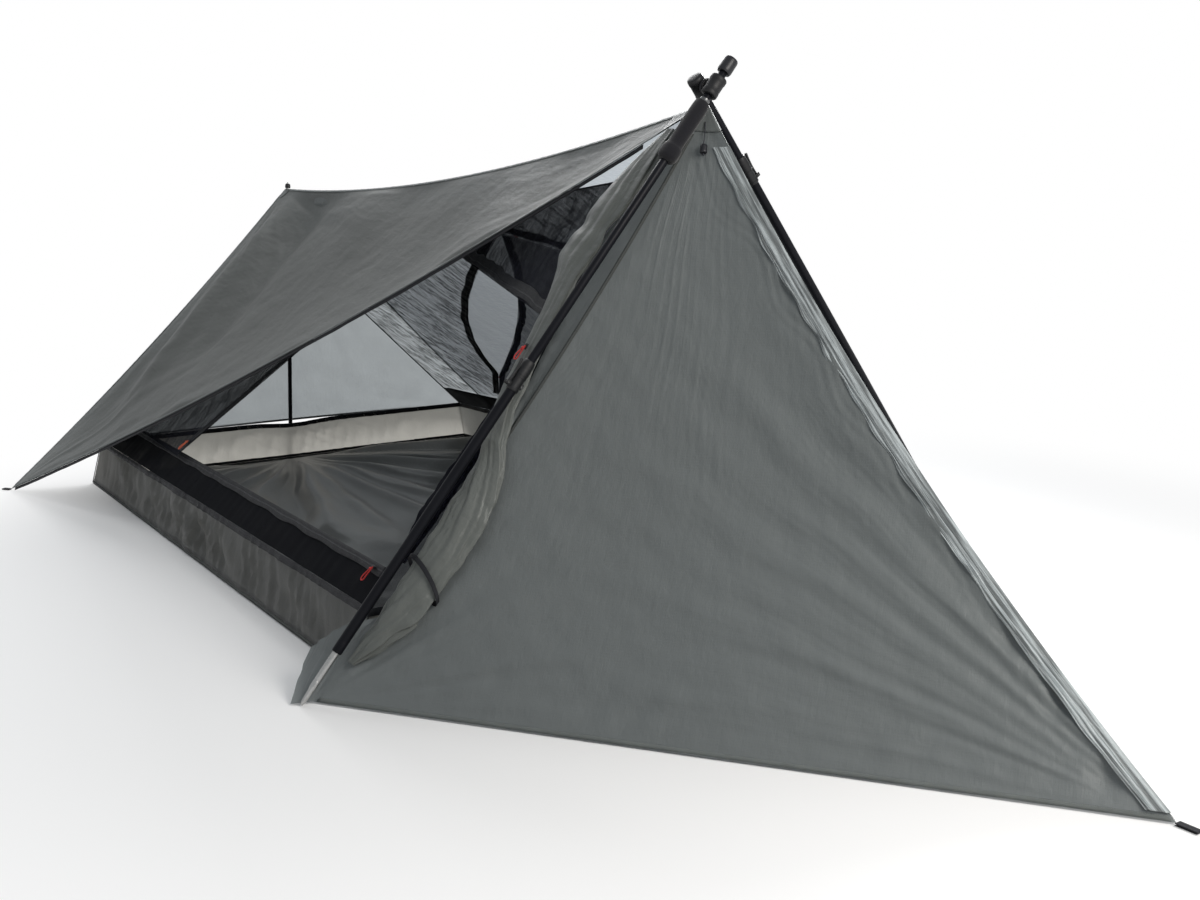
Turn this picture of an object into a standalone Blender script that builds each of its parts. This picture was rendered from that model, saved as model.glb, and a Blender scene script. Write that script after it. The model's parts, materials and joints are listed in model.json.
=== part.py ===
"""A pitched ridge tent on two crossed front poles and one rear pole, left door open.

Metres, +Z up. The front stake is towards -Y, the rear towards +Y, and the open door is on the
-X side. The origin is at the centre of the footprint, on the ground.
"""

import math

import bmesh
import bpy
from mathutils import Matrix, Vector

# Overall sizes of the fly
VESTIBULE_REACH = 1.085  # front apex to the end of the front stake tab
REAR_REACH = 2.212  # front apex to the ends of the rear stake tabs
LENGTH = VESTIBULE_REACH + REAR_REACH
APEX_Y = VESTIBULE_REACH - LENGTH / 2
APEX_HEIGHT = 1.010
REAR_HEIGHT = 0.855
RIDGE_RUN = 2.100
HEM_HEIGHT = 0.003
FRONT_CORNER_REACH = 1.050
REAR_HALF_WIDTH = 0.850
REAR_CORNER_RUN = 2.190
SEAM_FOOT_X = 0.793
POLE_FOOT_X = 0.815
POLE_FOOT_RUN = 0.065
REAR_HEM_RISE = 0.140

# How far the edges hang or pull in from straight lines
RIDGE_SAG = 0.055
LEFT_EDGE_SAG = 0.040
FRONT_SEAM_SAG = 0.050
LEFT_SEAM_SAG = 0.030
RIGHT_SEAM_SAG = 0.010
HIP_SAG = 0.018
PANEL_DIP = 0.012

# Sizes of the inner
FLOOR_FRONT_HALF, FLOOR_REAR_HALF = 0.690, 0.630
FLOOR_FRONT_RUN, FLOOR_REAR_RUN = 0.100, 2.150
WALL_HEIGHT = 0.130
WALL_LEAN = 0.030
STRIP_HEIGHT = 0.060
STRIP_LEAN = 0.050
INNER_FRONT_HEIGHT = 0.885
INNER_REAR_HEIGHT = 0.690
LENS_REAR_BULGE = 0.180
LENS_FRONT_BULGE = 0.100
LENS_START = 0.17

# Cloth, tape and clearances
FLY = 0.0012
MESH = 0.0010
TAPE = 0.0012
FLOOR = 0.0015
SEAM_GAP = 0.0003
LAY_GAP = 0.0005
TAPE_WIDTH = 0.020

# Front poles
CROSSING_HEIGHT = 1.040
POLE_SIDE_STEP = 0.0207  # each pole's distance from the middle plane where they cross
SHAFT_RADIUS = 0.0080
TUBE_RADIUS = 0.0095
TUBE_BORE = 0.0086
TIP_RADIUS = 0.0064
RUNNING_FIT = 0.0003
CLAMP_RADIUS = 0.0118
CLAMP_LENGTH = 0.062
LEVER_LENGTH = 0.050
LEVER_HINGE_OUT = 0.0158
HUB_RADIUS = 0.0140
HUB_HALF = 0.0035

# Rear pole
REAR_POLE_RADIUS = 0.0062
REAR_PIN_RADIUS = 0.0022
REAR_PIN_HOLE = 0.0034
PIN_DROP = 0.017  # from the rear apex down to the top of the pole


def spot(x, run, z):
    """A point given by its distance behind the front apex."""
    return Vector((x, run + APEX_Y, z))


APEX = spot(0, 0, APEX_HEIGHT)
REAR_APEX = spot(0, RIDGE_RUN, REAR_HEIGHT)
FRONT_CORNER = spot(0, -FRONT_CORNER_REACH, HEM_HEIGHT)


def seam_foot(side):
    return spot(side * SEAM_FOOT_X, POLE_FOOT_RUN, HEM_HEIGHT)


def rear_corner(side):
    return spot(side * REAR_HALF_WIDTH, REAR_CORNER_RUN, HEM_HEIGHT)


bpy.ops.object.select_all(action="DESELECT")
for item in list(bpy.data.objects):
    bpy.data.objects.remove(item, do_unlink=True)

tent = bpy.data.collections.new("ridge_tent")
bpy.context.scene.collection.children.link(tent)
cutters = bpy.data.collections.new("cutters")
cutters.hide_render = True
bpy.context.scene.collection.children.link(cutters)


def material(name, colour, roughness, metallic=0.0):
    made = bpy.data.materials.new(name)
    made.use_nodes = True
    shader = made.node_tree.nodes["Principled BSDF"]
    shader.inputs["Base Color"].default_value = (*colour, 1.0)
    shader.inputs["Roughness"].default_value = roughness
    shader.inputs["Metallic"].default_value = metallic
    return made


FLY_CLOTH = (0.125, 0.135, 0.118)
FLOOR_CLOTH = (0.105, 0.108, 0.100)
MESH_CLOTH = (0.022, 0.022, 0.030)
TAPE_CLOTH = (0.012, 0.012, 0.016)
POLE_BLACK = (0.020, 0.021, 0.026)
BRIGHT = (0.45, 0.46, 0.47)
PULL_RED = (0.55, 0.03, 0.05)


def keep(obj, name, mat, collection=tent):
    """Names the object, gives it its own material and files it in one collection."""
    obj.name = name
    obj.data.name = name
    obj.data.materials.clear()
    obj.data.materials.append(mat)
    for other in list(obj.users_collection):
        other.objects.unlink(obj)
    collection.objects.link(obj)
    return obj


def as_cutter(obj, name):
    keep(obj, name, bpy.data.materials.new(name), cutters)
    obj.hide_render = True
    obj.display_type = "WIRE"
    return obj


def boolean(obj, operation, other):
    step = obj.modifiers.new(operation.title(), "BOOLEAN")
    step.operation = operation
    step.object = other
    step.solver = "EXACT"
    return obj


def solidify(obj, thickness):
    step = obj.modifiers.new("Thickness", "SOLIDIFY")
    step.thickness = thickness
    step.offset = 1.0
    return obj


# Lines and surfaces


def line(a, b, t):
    return a + (b - a) * t


def sagged(a, b, t, sag):
    return line(a, b, t) + sag * (4 * t * (1 - t))


def ridge(t):
    return sagged(APEX, REAR_APEX, t, Vector((0, 0, -RIDGE_SAG)))


def roof_edge(side):
    sag = LEFT_EDGE_SAG if side < 0 else 0.0
    return lambda t: sagged(APEX, rear_corner(side), t, Vector((0, 0, -sag)))


def pole_seam(side):
    inward = Vector((-side * 0.78, 0, -0.63)) * (LEFT_SEAM_SAG if side < 0 else RIGHT_SEAM_SAG)
    return lambda t: sagged(APEX, seam_foot(side), t, inward)


def front_seam(t):
    return sagged(APEX, FRONT_CORNER, t, Vector((0, 0.68, -0.73)) * FRONT_SEAM_SAG)


def hip(side):
    pull = Vector((-side * 0.5, -0.3, -0.8)) * HIP_SAG
    return lambda t: sagged(REAR_APEX, rear_corner(side), t, pull)


def straight(a, b):
    return lambda t: line(a, b, t)


def rear_hem(s):
    across = 2 * s - 1
    rise = REAR_HEM_RISE * (1 - abs(across) ** 6)
    point = line(rear_corner(-1), rear_corner(1), s)
    slope = (REAR_CORNER_RUN - RIDGE_RUN) / REAR_HEIGHT
    return point + Vector((0, -slope * rise, rise))


def three_sided(first, second, far, outward, dip):
    """s crosses from the first edge to the second, t runs from their shared corner to the far edge."""

    def place(s, t):
        flat = line(first(1.0), second(1.0), s)
        wave = 4 * s * (1 - s) * math.sin(math.pi * min(max(t, 0), 1))
        return line(first(t), second(t), s) + (far(s) - flat) * t * t - outward * (dip * wave)

    return place


LEFT_UP = Vector((-0.7, 0, 0.7))
RIGHT_UP = Vector((0.7, 0, 0.7))
OUT = {
    "roof_left": LEFT_UP,
    "roof_right": RIGHT_UP,
    "rear": Vector((0, 0.99, 0.12)),
    "vestibule_left": Vector((-0.69, -0.49, 0.53)),
    "vestibule_right": Vector((0.69, -0.49, 0.53)),
    "door_left": Vector((-0.78, 0, 0.63)),
    "door_right": Vector((0.78, 0, 0.63)),
}
FACE = {
    "roof_left": three_sided(ridge, roof_edge(-1), hip(-1), OUT["roof_left"], PANEL_DIP),
    "roof_right": three_sided(ridge, roof_edge(1), hip(1), OUT["roof_right"], PANEL_DIP),
    "rear": three_sided(hip(-1), hip(1), rear_hem, OUT["rear"], 0.0),
    "vestibule_left": three_sided(
        pole_seam(-1), front_seam, straight(seam_foot(-1), FRONT_CORNER), OUT["vestibule_left"], 0.02
    ),
    "vestibule_right": three_sided(
        pole_seam(1), front_seam, straight(seam_foot(1), FRONT_CORNER), OUT["vestibule_right"], 0.02
    ),
    "door_left": three_sided(
        pole_seam(-1), roof_edge(-1), straight(seam_foot(-1), rear_corner(-1)), OUT["door_left"], 0.0
    ),
    "door_right": three_sided(
        pole_seam(1), roof_edge(1), straight(seam_foot(1), rear_corner(1)), OUT["door_right"], PANEL_DIP
    ),
}


def normal_at(place, s, t, outward):
    step = 0.004
    s, t = min(max(s, step), 1 - step), min(max(t, 2 * step), 1 - step)
    across = place(s + step, t) - place(s - step, t)
    along = place(s, t + step) - place(s, t - step)
    found = across.cross(along).normalized()
    return found if found.dot(outward) > 0 else -found


def grid(name, columns, rows, position, outward, thickness, mat, merge=False):
    """A grid of cells, placed by position(s, t), thickened on its outward side."""
    bpy.ops.mesh.primitive_grid_add(x_subdivisions=columns, y_subdivisions=rows, size=1)
    obj = bpy.context.object
    for vertex in obj.data.vertices:
        vertex.co = position(vertex.co.x + 0.5, vertex.co.y + 0.5)
    shape = bmesh.new()
    shape.from_mesh(obj.data)
    if merge:
        bmesh.ops.remove_doubles(shape, verts=shape.verts, dist=0.00002)
    total = Vector((0, 0, 0))
    for face in shape.faces:
        total += face.normal * face.calc_area() if outward is not None else Vector((0, 0, 0))
    if outward is not None and total.dot(outward) < 0:
        bmesh.ops.reverse_faces(shape, faces=shape.faces)
    shape.to_mesh(obj.data)
    shape.free()
    keep(obj, name, mat)
    solidify(obj, thickness)
    return obj


def inset(s, width, gap=SEAM_GAP):
    share = min(gap / max(width, 0.002), 0.2)
    return share + (1 - 2 * share) * s


def panel(name, face, columns, rows, mat, thickness=FLY, start=0.02, end_gap=SEAM_GAP):
    place, outward = FACE[face], OUT[face]

    def position(s, t):
        t = start + (1 - start) * t
        t = min(t, 1 - end_gap / 1.3)
        return place(inset(s, (place(1, t) - place(0, t)).length), t)

    return grid(name, columns, rows, position, outward, thickness, mat)


# The fly

fly = material("fly_cloth", FLY_CLOTH, 0.62)
panel("roof_left", "roof_left", 8, 14, fly)
panel("roof_right", "roof_right", 8, 14, material("fly_cloth_right", FLY_CLOTH, 0.62))
panel("rear_panel", "rear", 12, 10, material("fly_cloth_rear", FLY_CLOTH, 0.62))
panel("vestibule_left", "vestibule_left", 8, 14, material("fly_cloth_front", FLY_CLOTH, 0.62))
panel("vestibule_right", "vestibule_right", 8, 14, material("fly_cloth_far", FLY_CLOTH, 0.62))
panel("door_right", "door_right", 8, 14, material("fly_cloth_door", FLY_CLOTH, 0.62))


def lifted(face, s, t, height):
    place = FACE[face]
    return place(s, t) + normal_at(place, s, t, OUT[face]) * height


def width_at(face, t):
    return (FACE[face](1, t) - FACE[face](0, t)).length


def on_ridge(face_a, s_a, face_b, s_b, t, height):
    """A point just above the seam that two faces share."""
    first = normal_at(FACE[face_a], s_a, t, OUT[face_a])
    second = normal_at(FACE[face_b], s_b, t, OUT[face_b])
    mean = (first + second).normalized()
    return FACE[face_a](s_a, t) + mean * (height / mean.dot(first))


def seam_band(name, face_a, s_a, width_a, face_b, s_b, width_b, start, end, rows, mat):
    """A tape folded over a seam: width_a on the first face, width_b on the second."""
    height = FLY + LAY_GAP

    def position(s, t):
        t = start + (end - start) * t
        if abs(s - 0.5) < 0.01:
            return on_ridge(face_a, s_a, face_b, s_b, t, height)
        face, edge, width = (face_a, s_a, width_a) if s < 0.5 else (face_b, s_b, width_b)
        reach = abs(s - 0.5) * 2 * width * min(1, 0.3 + 2 * t) / width_at(face, t)
        return lifted(face, edge + (reach if edge < 0.5 else -reach), t, height)

    return grid(name, 4, rows, position, OUT[face_a] + OUT[face_b], TAPE, mat)


seam_band("front_band", "vestibule_left", 1, 0.050, "vestibule_right", 1, 0.020, 0.075, 0.985, 16,
          material("band_cloth", FLY_CLOTH, 0.60))
seam_band("side_zip_right", "door_right", 1, 0.014, "roof_right", 1, 0.014, 0.075, 0.985, 12,
          material("side_zip_tape", TAPE_CLOTH, 0.70))


def left_zip(s, t):
    t = 0.075 + 0.91 * t
    reach = 0.014 * s / width_at("roof_left", t)
    return lifted("roof_left", 0.999 - reach, t, FLY + LAY_GAP)


grid("side_zip_left", 1, 14, left_zip, LEFT_UP, TAPE, material("side_zip_tape_left", TAPE_CLOTH, 0.70))

# Reinforcement over the five panels that meet at the front apex
PATCH_REACH = 0.045
PATCH_ROUTE = (
    ("roof_left", 1, 0),
    ("roof_right", 0, 1),
    ("door_right", 1, 0),
    ("vestibule_right", 0, 1),
    ("vestibule_left", 1, 0),
)


def apex_cover(s, t):
    t *= PATCH_REACH
    height = FLY + LAY_GAP
    if t < 0.001:
        return APEX + Vector((0, 0, height * 1.6))
    place = min(s, 0.99999) * len(PATCH_ROUTE)
    index, within = int(place), place - int(place)
    if within < 0.001 and index:
        before, now = PATCH_ROUTE[index - 1], PATCH_ROUTE[index]
        return on_ridge(before[0], before[2], now[0], now[1], t, height)
    face, first, last = PATCH_ROUTE[index]
    return lifted(face, first + (last - first) * within, t, height)


grid("apex_patch", 3 * len(PATCH_ROUTE), 3, apex_cover, Vector((0, 0, 1)), 0.0008,
     material("patch_cloth", FLY_CLOTH, 0.55), merge=True)

# Rear reinforcement with the hole for the pole's pin
PIN_RUN = 2.078
PATCH_RADIUS = 0.026


def rear_cover(s, t):
    angle = 2 * math.pi * s
    radius = REAR_PIN_HOLE + (PATCH_RADIUS - REAR_PIN_HOLE) * t
    x, run = radius * math.cos(angle), PIN_RUN + radius * math.sin(angle) * (0.75 if t > 0.5 else 1)
    along = min(run / RIDGE_RUN, 0.997)
    height = FLY + LAY_GAP
    if abs(x) < 0.00001:
        return on_ridge("roof_left", 0, "roof_right", 0, along, height)
    face = "roof_left" if x < 0 else "roof_right"
    return lifted(face, abs(x) / (REAR_HALF_WIDTH * along), along, height)


grid("rear_patch", 16, 2, rear_cover, Vector((0, 0, 1)), 0.0008,
     material("rear_patch_cloth", FLY_CLOTH, 0.55), merge=True)
bpy.ops.mesh.primitive_cylinder_add(
    vertices=16, radius=REAR_PIN_HOLE, depth=0.2, location=spot(0, PIN_RUN, REAR_HEIGHT)
)
pin_hole = as_cutter(bpy.context.object, "pin_hole_cutter")
boolean(bpy.data.objects["roof_left"], "DIFFERENCE", pin_hole)
boolean(bpy.data.objects["roof_right"], "DIFFERENCE", pin_hole)


# Rolled and bundled cloth


def loft(name, sections, mat):
    """Closes a row of rings of equal length into one solid."""
    count = len(sections[0])
    points = [point for ring in sections for point in ring]
    faces = [tuple(reversed(range(count)))]
    for row in range(len(sections) - 1):
        for k in range(count):
            here, after = row * count + k, row * count + (k + 1) % count
            faces.append((here, after, after + count, here + count))
    faces.append(tuple(range((len(sections) - 1) * count, len(sections) * count)))
    mesh = bpy.data.meshes.new(name)
    mesh.from_pydata(points, [], faces)
    shape = bmesh.new()
    shape.from_mesh(mesh)
    bmesh.ops.recalc_face_normals(shape, faces=shape.faces)
    shape.to_mesh(mesh)
    shape.free()
    obj = bpy.data.objects.new(name, mesh)
    tent.objects.link(obj)
    return keep(obj, name, mat)


def beside_seam(t, away):
    """A point on the fly at a distance from the left pole seam, and the outward normal there."""
    face = "vestibule_left" if away >= 0 else "door_left"
    s = abs(away) / width_at(face, t)
    share = min(max((away + 0.03) / 0.06, 0), 1)
    to_door = normal_at(FACE["door_left"], s if away < 0 else 0, t, OUT["door_left"])
    to_front = normal_at(FACE["vestibule_left"], s if away >= 0 else 0, t, OUT["vestibule_left"])
    return FACE[face](s, t), (to_door * (1 - share) + to_front * share).normalized()


# Along the pole seam from the apex: share of its length, distance from it, half width, half thickness
ROLL = (
    (0.050, -0.050, 0.016, 0.006),
    (0.090, -0.062, 0.036, 0.010),
    (0.140, -0.080, 0.048, 0.013),
    (0.200, -0.092, 0.054, 0.016),
    (0.270, -0.100, 0.055, 0.017),
    (0.355, -0.072, 0.042, 0.017),
    (0.440, -0.052, 0.036, 0.016),
    (0.520, -0.030, 0.032, 0.014),
    (0.565, -0.006, 0.030, 0.013),
    (0.615, 0.020, 0.036, 0.014),
    (0.670, 0.035, 0.043, 0.015),
    (0.730, 0.041, 0.045, 0.016),
    (0.800, 0.044, 0.046, 0.016),
    (0.860, 0.047, 0.040, 0.014),
    (0.910, 0.034, 0.024, 0.010),
    (0.935, 0.022, 0.010, 0.006),
)
ROLL_CLEARANCE = 0.0045


def roll_ring(t, away, wide, thick, count, folds=0.0):
    base, outward = beside_seam(t, away)
    run = (pole_seam(-1)(t + 0.01) - pole_seam(-1)(t - 0.01)).normalized()
    run = (run - outward * run.dot(outward)).normalized()
    across = run.cross(outward)
    centre = base + outward * (thick + ROLL_CLEARANCE)
    ring = []
    for k in range(count):
        angle = 2 * math.pi * k / count
        swell = 1 - folds * (0.5 + 0.5 * math.cos(5 * angle + 9 * t))
        ring.append(
            centre + across * (wide * math.cos(angle) * swell) + outward * (thick * math.sin(angle) * swell)
        )
    return ring


loft("door_left_roll", [roll_ring(*row, 16, 0.16) for row in ROLL],
     material("roll_cloth", FLY_CLOTH, 0.62))

TIE_AT = 0.800
TIE_WIDTH = 0.008


def tie(s, t):
    share = TIE_AT + (t - 0.5) * TIE_WIDTH / 1.29
    ring = roll_ring(share, 0.044, 0.046 + 0.0008, 0.016 + 0.0008, 20)
    index = round(s * 20) % 20
    return ring[index] - beside_seam(share, 0.044)[1] * 0.0008


tie_web = material("tie_web", TAPE_CLOTH, 0.7)
tie_band = grid("door_tie_left", 20, 1, tie, None, 0.0010, tie_web, merge=True)


def closed_outward(obj, centre):
    """Turns the faces of a ring-shaped sheet away from a centre."""
    total = sum((p.center - centre).dot(p.normal) * p.area for p in obj.data.polygons)
    if total < 0:
        obj.data.flip_normals()


tie_points = tie_band.data.vertices
closed_outward(tie_band, sum((v.co for v in tie_points), Vector()) / len(tie_points))


# The inner


def wall_corner(side, rear, height):
    """A corner of the bathtub at a height above the ground."""
    half = FLOOR_REAR_HALF if rear else FLOOR_FRONT_HALF
    run = FLOOR_REAR_RUN if rear else FLOOR_FRONT_RUN
    share = height / WALL_HEIGHT
    end = -1 if rear else 1
    return spot(side * (half - 0.002 - WALL_LEAN * share), run + end * (0.002 + 0.02 * share), height)


def strip_corner(side, rear):
    base = wall_corner(side, rear, WALL_HEIGHT)
    lean = STRIP_LEAN * (1.28 if rear else 1.0)
    return base + Vector((-side * lean, -0.005 if rear else 0.005, STRIP_HEIGHT))


INNER_FRONT = spot(0, 0.130, INNER_FRONT_HEIGHT)
INNER_REAR = spot(0, 2.072, INNER_REAR_HEIGHT)
LEG_FOOT = {-1: spot(-0.588, 1.430, 0.192), 1: spot(0.566, 1.800, 0.192)}
LEG_TOP = {-1: spot(-0.058, 1.000, 0.742), 1: spot(0.058, 0.877, 0.753)}
FRONT_TOP = {-1: spot(-0.250, 0.150, 0.610), 1: spot(0.250, 0.150, 0.610)}
FLOOR_CORNERS = (
    (spot(-FLOOR_FRONT_HALF, FLOOR_FRONT_RUN, FLOOR), spot(FLOOR_FRONT_HALF, FLOOR_FRONT_RUN, FLOOR)),
    (spot(-FLOOR_REAR_HALF, FLOOR_REAR_RUN, FLOOR), spot(FLOOR_REAR_HALF, FLOOR_REAR_RUN, FLOOR)),
)


def four_sided(low_first, low_second, high_first, high_second, gap=SEAM_GAP):
    """s runs from first to second, t from low to high, kept a gap inside the outline."""

    def position(s, t):
        s = inset(s, (low_second - low_first).length, gap)
        t = inset(t, (high_first - low_first).length, gap)
        return line(line(low_first, low_second, s), line(high_first, high_second, s), t)

    return position


grid("floor", 4, 6, four_sided(*FLOOR_CORNERS[0], *FLOOR_CORNERS[1], 0), Vector((0, 0, -1)), FLOOR,
     material("floor_cloth", FLOOR_CLOTH, 0.55))
TUB_CORNERS = ((-1, False), (1, False), (1, True), (-1, True))


def tub_wall(s, t):
    """The four walls as one band, s running round the floor and t up the wall."""
    height = FLOOR + SEAM_GAP + (WALL_HEIGHT - FLOOR - SEAM_GAP) * t
    place = (s * 4) % 4
    index = int(place)
    here, after = TUB_CORNERS[index], TUB_CORNERS[(index + 1) % 4]
    return line(wall_corner(*here, height), wall_corner(*after, height), place - index)


tub_cloth = material("bathtub_cloth", FLOOR_CLOTH, 0.55)
bathtub = grid("bathtub_wall", 24, 1, tub_wall, None, FLY, tub_cloth, merge=True)
closed_outward(bathtub, spot(0, 1.1, 0))
top = Vector((0, 0, SEAM_GAP))
for name, side in (("left", -1), ("right", 1)):
    grid(f"mesh_strip_{name}", 6, 1,
         four_sided(wall_corner(side, False, WALL_HEIGHT) + top, wall_corner(side, True, WALL_HEIGHT) + top,
                    strip_corner(side, False), strip_corner(side, True)),
         Vector((side, 0, 0.5)), MESH, material(f"strip_mesh_{name}", MESH_CLOTH, 0.8))


def runs(points, shares):
    """Straight runs through the points, each reached at its share of the way."""

    def position(s):
        index = max(k for k in range(len(points) - 1) if s >= shares[k])
        within = (s - shares[index]) / (shares[index + 1] - shares[index])
        return line(points[index], points[index + 1], within)

    return position


ALONG_RIDGE = (INNER_REAR - INNER_FRONT).normalized()


def lens(s):
    """Nought to one and back along the unzipped length of the right door's rear leg."""
    share = (2 * s - LENS_START) / (1 - LENS_START)
    return math.sin(math.pi * share) if 0 < share < 1 and s < 0.5 else 0.0


def arch(side):
    """The fixed wall's edge round the door: up the rear leg, then forward under the ridge."""
    run = runs((LEG_FOOT[side], LEG_TOP[side], FRONT_TOP[side]), (0, 0.5, 1))
    rear_bulge = ALONG_RIDGE * (LENS_REAR_BULGE if side > 0 else 0.0)
    return lambda s: run(s) + rear_bulge * lens(s)


def fixed_wall(side):
    over_leg = (LEG_TOP[side].y - INNER_FRONT.y) / (INNER_REAR.y - INNER_FRONT.y)
    rear_low = strip_corner(side, True) + Vector((0, 0, 0.002))
    above_leg = line(INNER_FRONT, INNER_REAR, over_leg)
    outer = runs((rear_low, INNER_REAR, above_leg, INNER_FRONT), (0, 0.35, 0.5, 1))
    inner = arch(side)
    shift = Vector((side * SEAM_GAP * 2, 0, 0))

    def position(s, t):
        s = inset(s, 2.6)
        return line(inner(s), outer(s), t) + shift

    return position


def door_sheet(side):
    """The mesh door: s from its front edge to the rear leg, t from its hem up."""
    front_low = strip_corner(side, False) + Vector((0, 0.004, 0.0015))
    front_high, rear_low, rear_high = FRONT_TOP[side], LEG_FOOT[side], LEG_TOP[side]
    pull = ALONG_RIDGE * -LENS_FRONT_BULGE

    def position(s, t):
        s, t = inset(s, 1.0, 0.0012), inset(t, 0.5, 0.0012)
        leg = line(rear_low, rear_high, t) + pull * lens(t / 2)
        return line(line(front_low, front_high, t), leg, s)

    return position


for name, side in (("left", -1), ("right", 1)):
    grid(f"mesh_wall_{name}", 20, 3, fixed_wall(side), Vector((side, 0, 0.8)), MESH,
         material(f"wall_mesh_{name}", MESH_CLOTH, 0.8))
grid("mesh_door_right", 8, 10, door_sheet(1), RIGHT_UP, MESH, material("door_mesh", MESH_CLOTH, 0.8))


def end_mesh(peak, left, right, outward, start):
    def position(s, t):
        t = start + (1 - start) * t
        row_left, row_right = line(peak, left, t), line(peak, right, t)
        width = (row_right - row_left).length
        s = inset(s, width, 0.0012)
        dip = outward * (-0.012 * 4 * s * (1 - s) * math.sin(math.pi * t))
        return line(row_left, row_right, s) + dip

    return position


rim = Vector((0, 0, SEAM_GAP))
FRONTWARD, REARWARD = Vector((0, -1, 0)), Vector((0, 1, 0))
grid("mesh_front", 8, 8,
     end_mesh(INNER_FRONT + Vector((0, -0.004, -0.002)),
              wall_corner(-1, False, WALL_HEIGHT) + rim + Vector((0.004, -0.001, 0)),
              wall_corner(1, False, WALL_HEIGHT) + rim + Vector((-0.004, -0.001, 0)), FRONTWARD, 0.02),
     FRONTWARD, MESH, material("front_mesh", MESH_CLOTH, 0.8))
grid("mesh_rear", 8, 8,
     end_mesh(INNER_REAR + Vector((0, 0.003, -0.002)),
              wall_corner(-1, True, WALL_HEIGHT) + rim + Vector((0.004, 0.001, 0)),
              wall_corner(1, True, WALL_HEIGHT) + rim + Vector((-0.004, 0.001, 0)), REARWARD, 0.02),
     REARWARD, MESH, material("rear_mesh", MESH_CLOTH, 0.8))


def edge_tape(surface, outward, wide, start, end, edge_at, vertical=False, height=MESH + LAY_GAP):
    """A tape on a surface along one of its edges. Its first row lies on the edge."""

    def position(s, t):
        t = start + (end - start) * t
        if vertical:
            width = (surface(1, t) - surface(0, t)).length
            point = (edge_at + (1 if edge_at < 0.5 else -1) * s * wide / width, t)
        else:
            width = (surface(t, 1) - surface(t, 0)).length
            point = (t, edge_at + (1 if edge_at < 0.5 else -1) * s * wide / width)
        return surface(*point) + normal_at(surface, *point, outward) * height

    return position


for name, side in (("left", -1), ("right", 1)):
    strip = four_sided(wall_corner(side, False, WALL_HEIGHT) + rim, wall_corner(side, True, WALL_HEIGHT) + rim,
                       strip_corner(side, False), strip_corner(side, True))
    grid(f"strip_zip_{name}", 1, 6, edge_tape(strip, Vector((side, 0, 0.5)), TAPE_WIDTH, 0.012, 0.985, 1),
         Vector((side, 0, 0.5)), TAPE, material(f"strip_tape_{name}", TAPE_CLOTH, 0.7))
    grid(f"arch_zip_{name}", 1, 20,
         edge_tape(fixed_wall(side), Vector((side, 0, 0.8)), TAPE_WIDTH, 0.01, 0.99, 0),
         Vector((side, 0, 0.8)), TAPE, material(f"arch_tape_{name}", TAPE_CLOTH, 0.7))
grid("door_zip_right", 1, 14, edge_tape(door_sheet(1), RIGHT_UP, TAPE_WIDTH, 0.03, 0.985, 1, vertical=True),
     RIGHT_UP, TAPE, material("door_tape", TAPE_CLOTH, 0.7))


BUNDLE_RADIUS = 0.019


def bundle_spot(height):
    """The bundle's middle line, just behind the slanting edge of the front mesh."""
    edge = (INNER_FRONT_HEIGHT - height) / (INNER_FRONT_HEIGHT - WALL_HEIGHT)
    return spot(-0.655 * edge + 0.002, 0.1265 - 0.005 * edge + BUNDLE_RADIUS, height)


def bundle_ring(share):
    """The left mesh door drawn forward into a bundle beside its front edge."""
    low, high = 0.204, 0.594
    centre = bundle_spot(line(low, high, share))
    axis = (bundle_spot(high) - bundle_spot(low)).normalized()
    size = BUNDLE_RADIUS * min(1.0, 0.45 + 3.0 * min(share, 1 - share))
    centre.y -= BUNDLE_RADIUS - size
    across = axis.cross(Vector((0, 1, 0))).normalized()
    depth = axis.cross(across)
    ring = []
    for k in range(12):
        angle = 2 * math.pi * k / 12
        swell = size * (1 - 0.16 * (0.5 + 0.5 * math.cos(4 * angle + 7 * share)))
        ring.append(centre + across * (swell * math.cos(angle)) + depth * (swell * math.sin(angle)))
    return ring


loft("mesh_door_left", [bundle_ring(k / 10) for k in range(11)], material("bundle_mesh", MESH_CLOTH, 0.8))


def bar(start, end, width, thick, flat):
    """A straight strip from start to end: width across, thick along the flat direction."""
    bpy.ops.mesh.primitive_cube_add(size=1)
    obj = bpy.context.object
    run = (end - start).normalized()
    flat = (flat - run * run.dot(flat)).normalized()
    across = run.cross(flat)
    for vertex in obj.data.vertices:
        share = vertex.co.z + 0.5
        middle = line(start, end, share)
        vertex.co = middle + across * (vertex.co.x * width) + flat * (vertex.co.y * thick)
    if Matrix((across, flat, run)).determinant() < 0:
        obj.data.flip_normals()
    return obj


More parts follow.
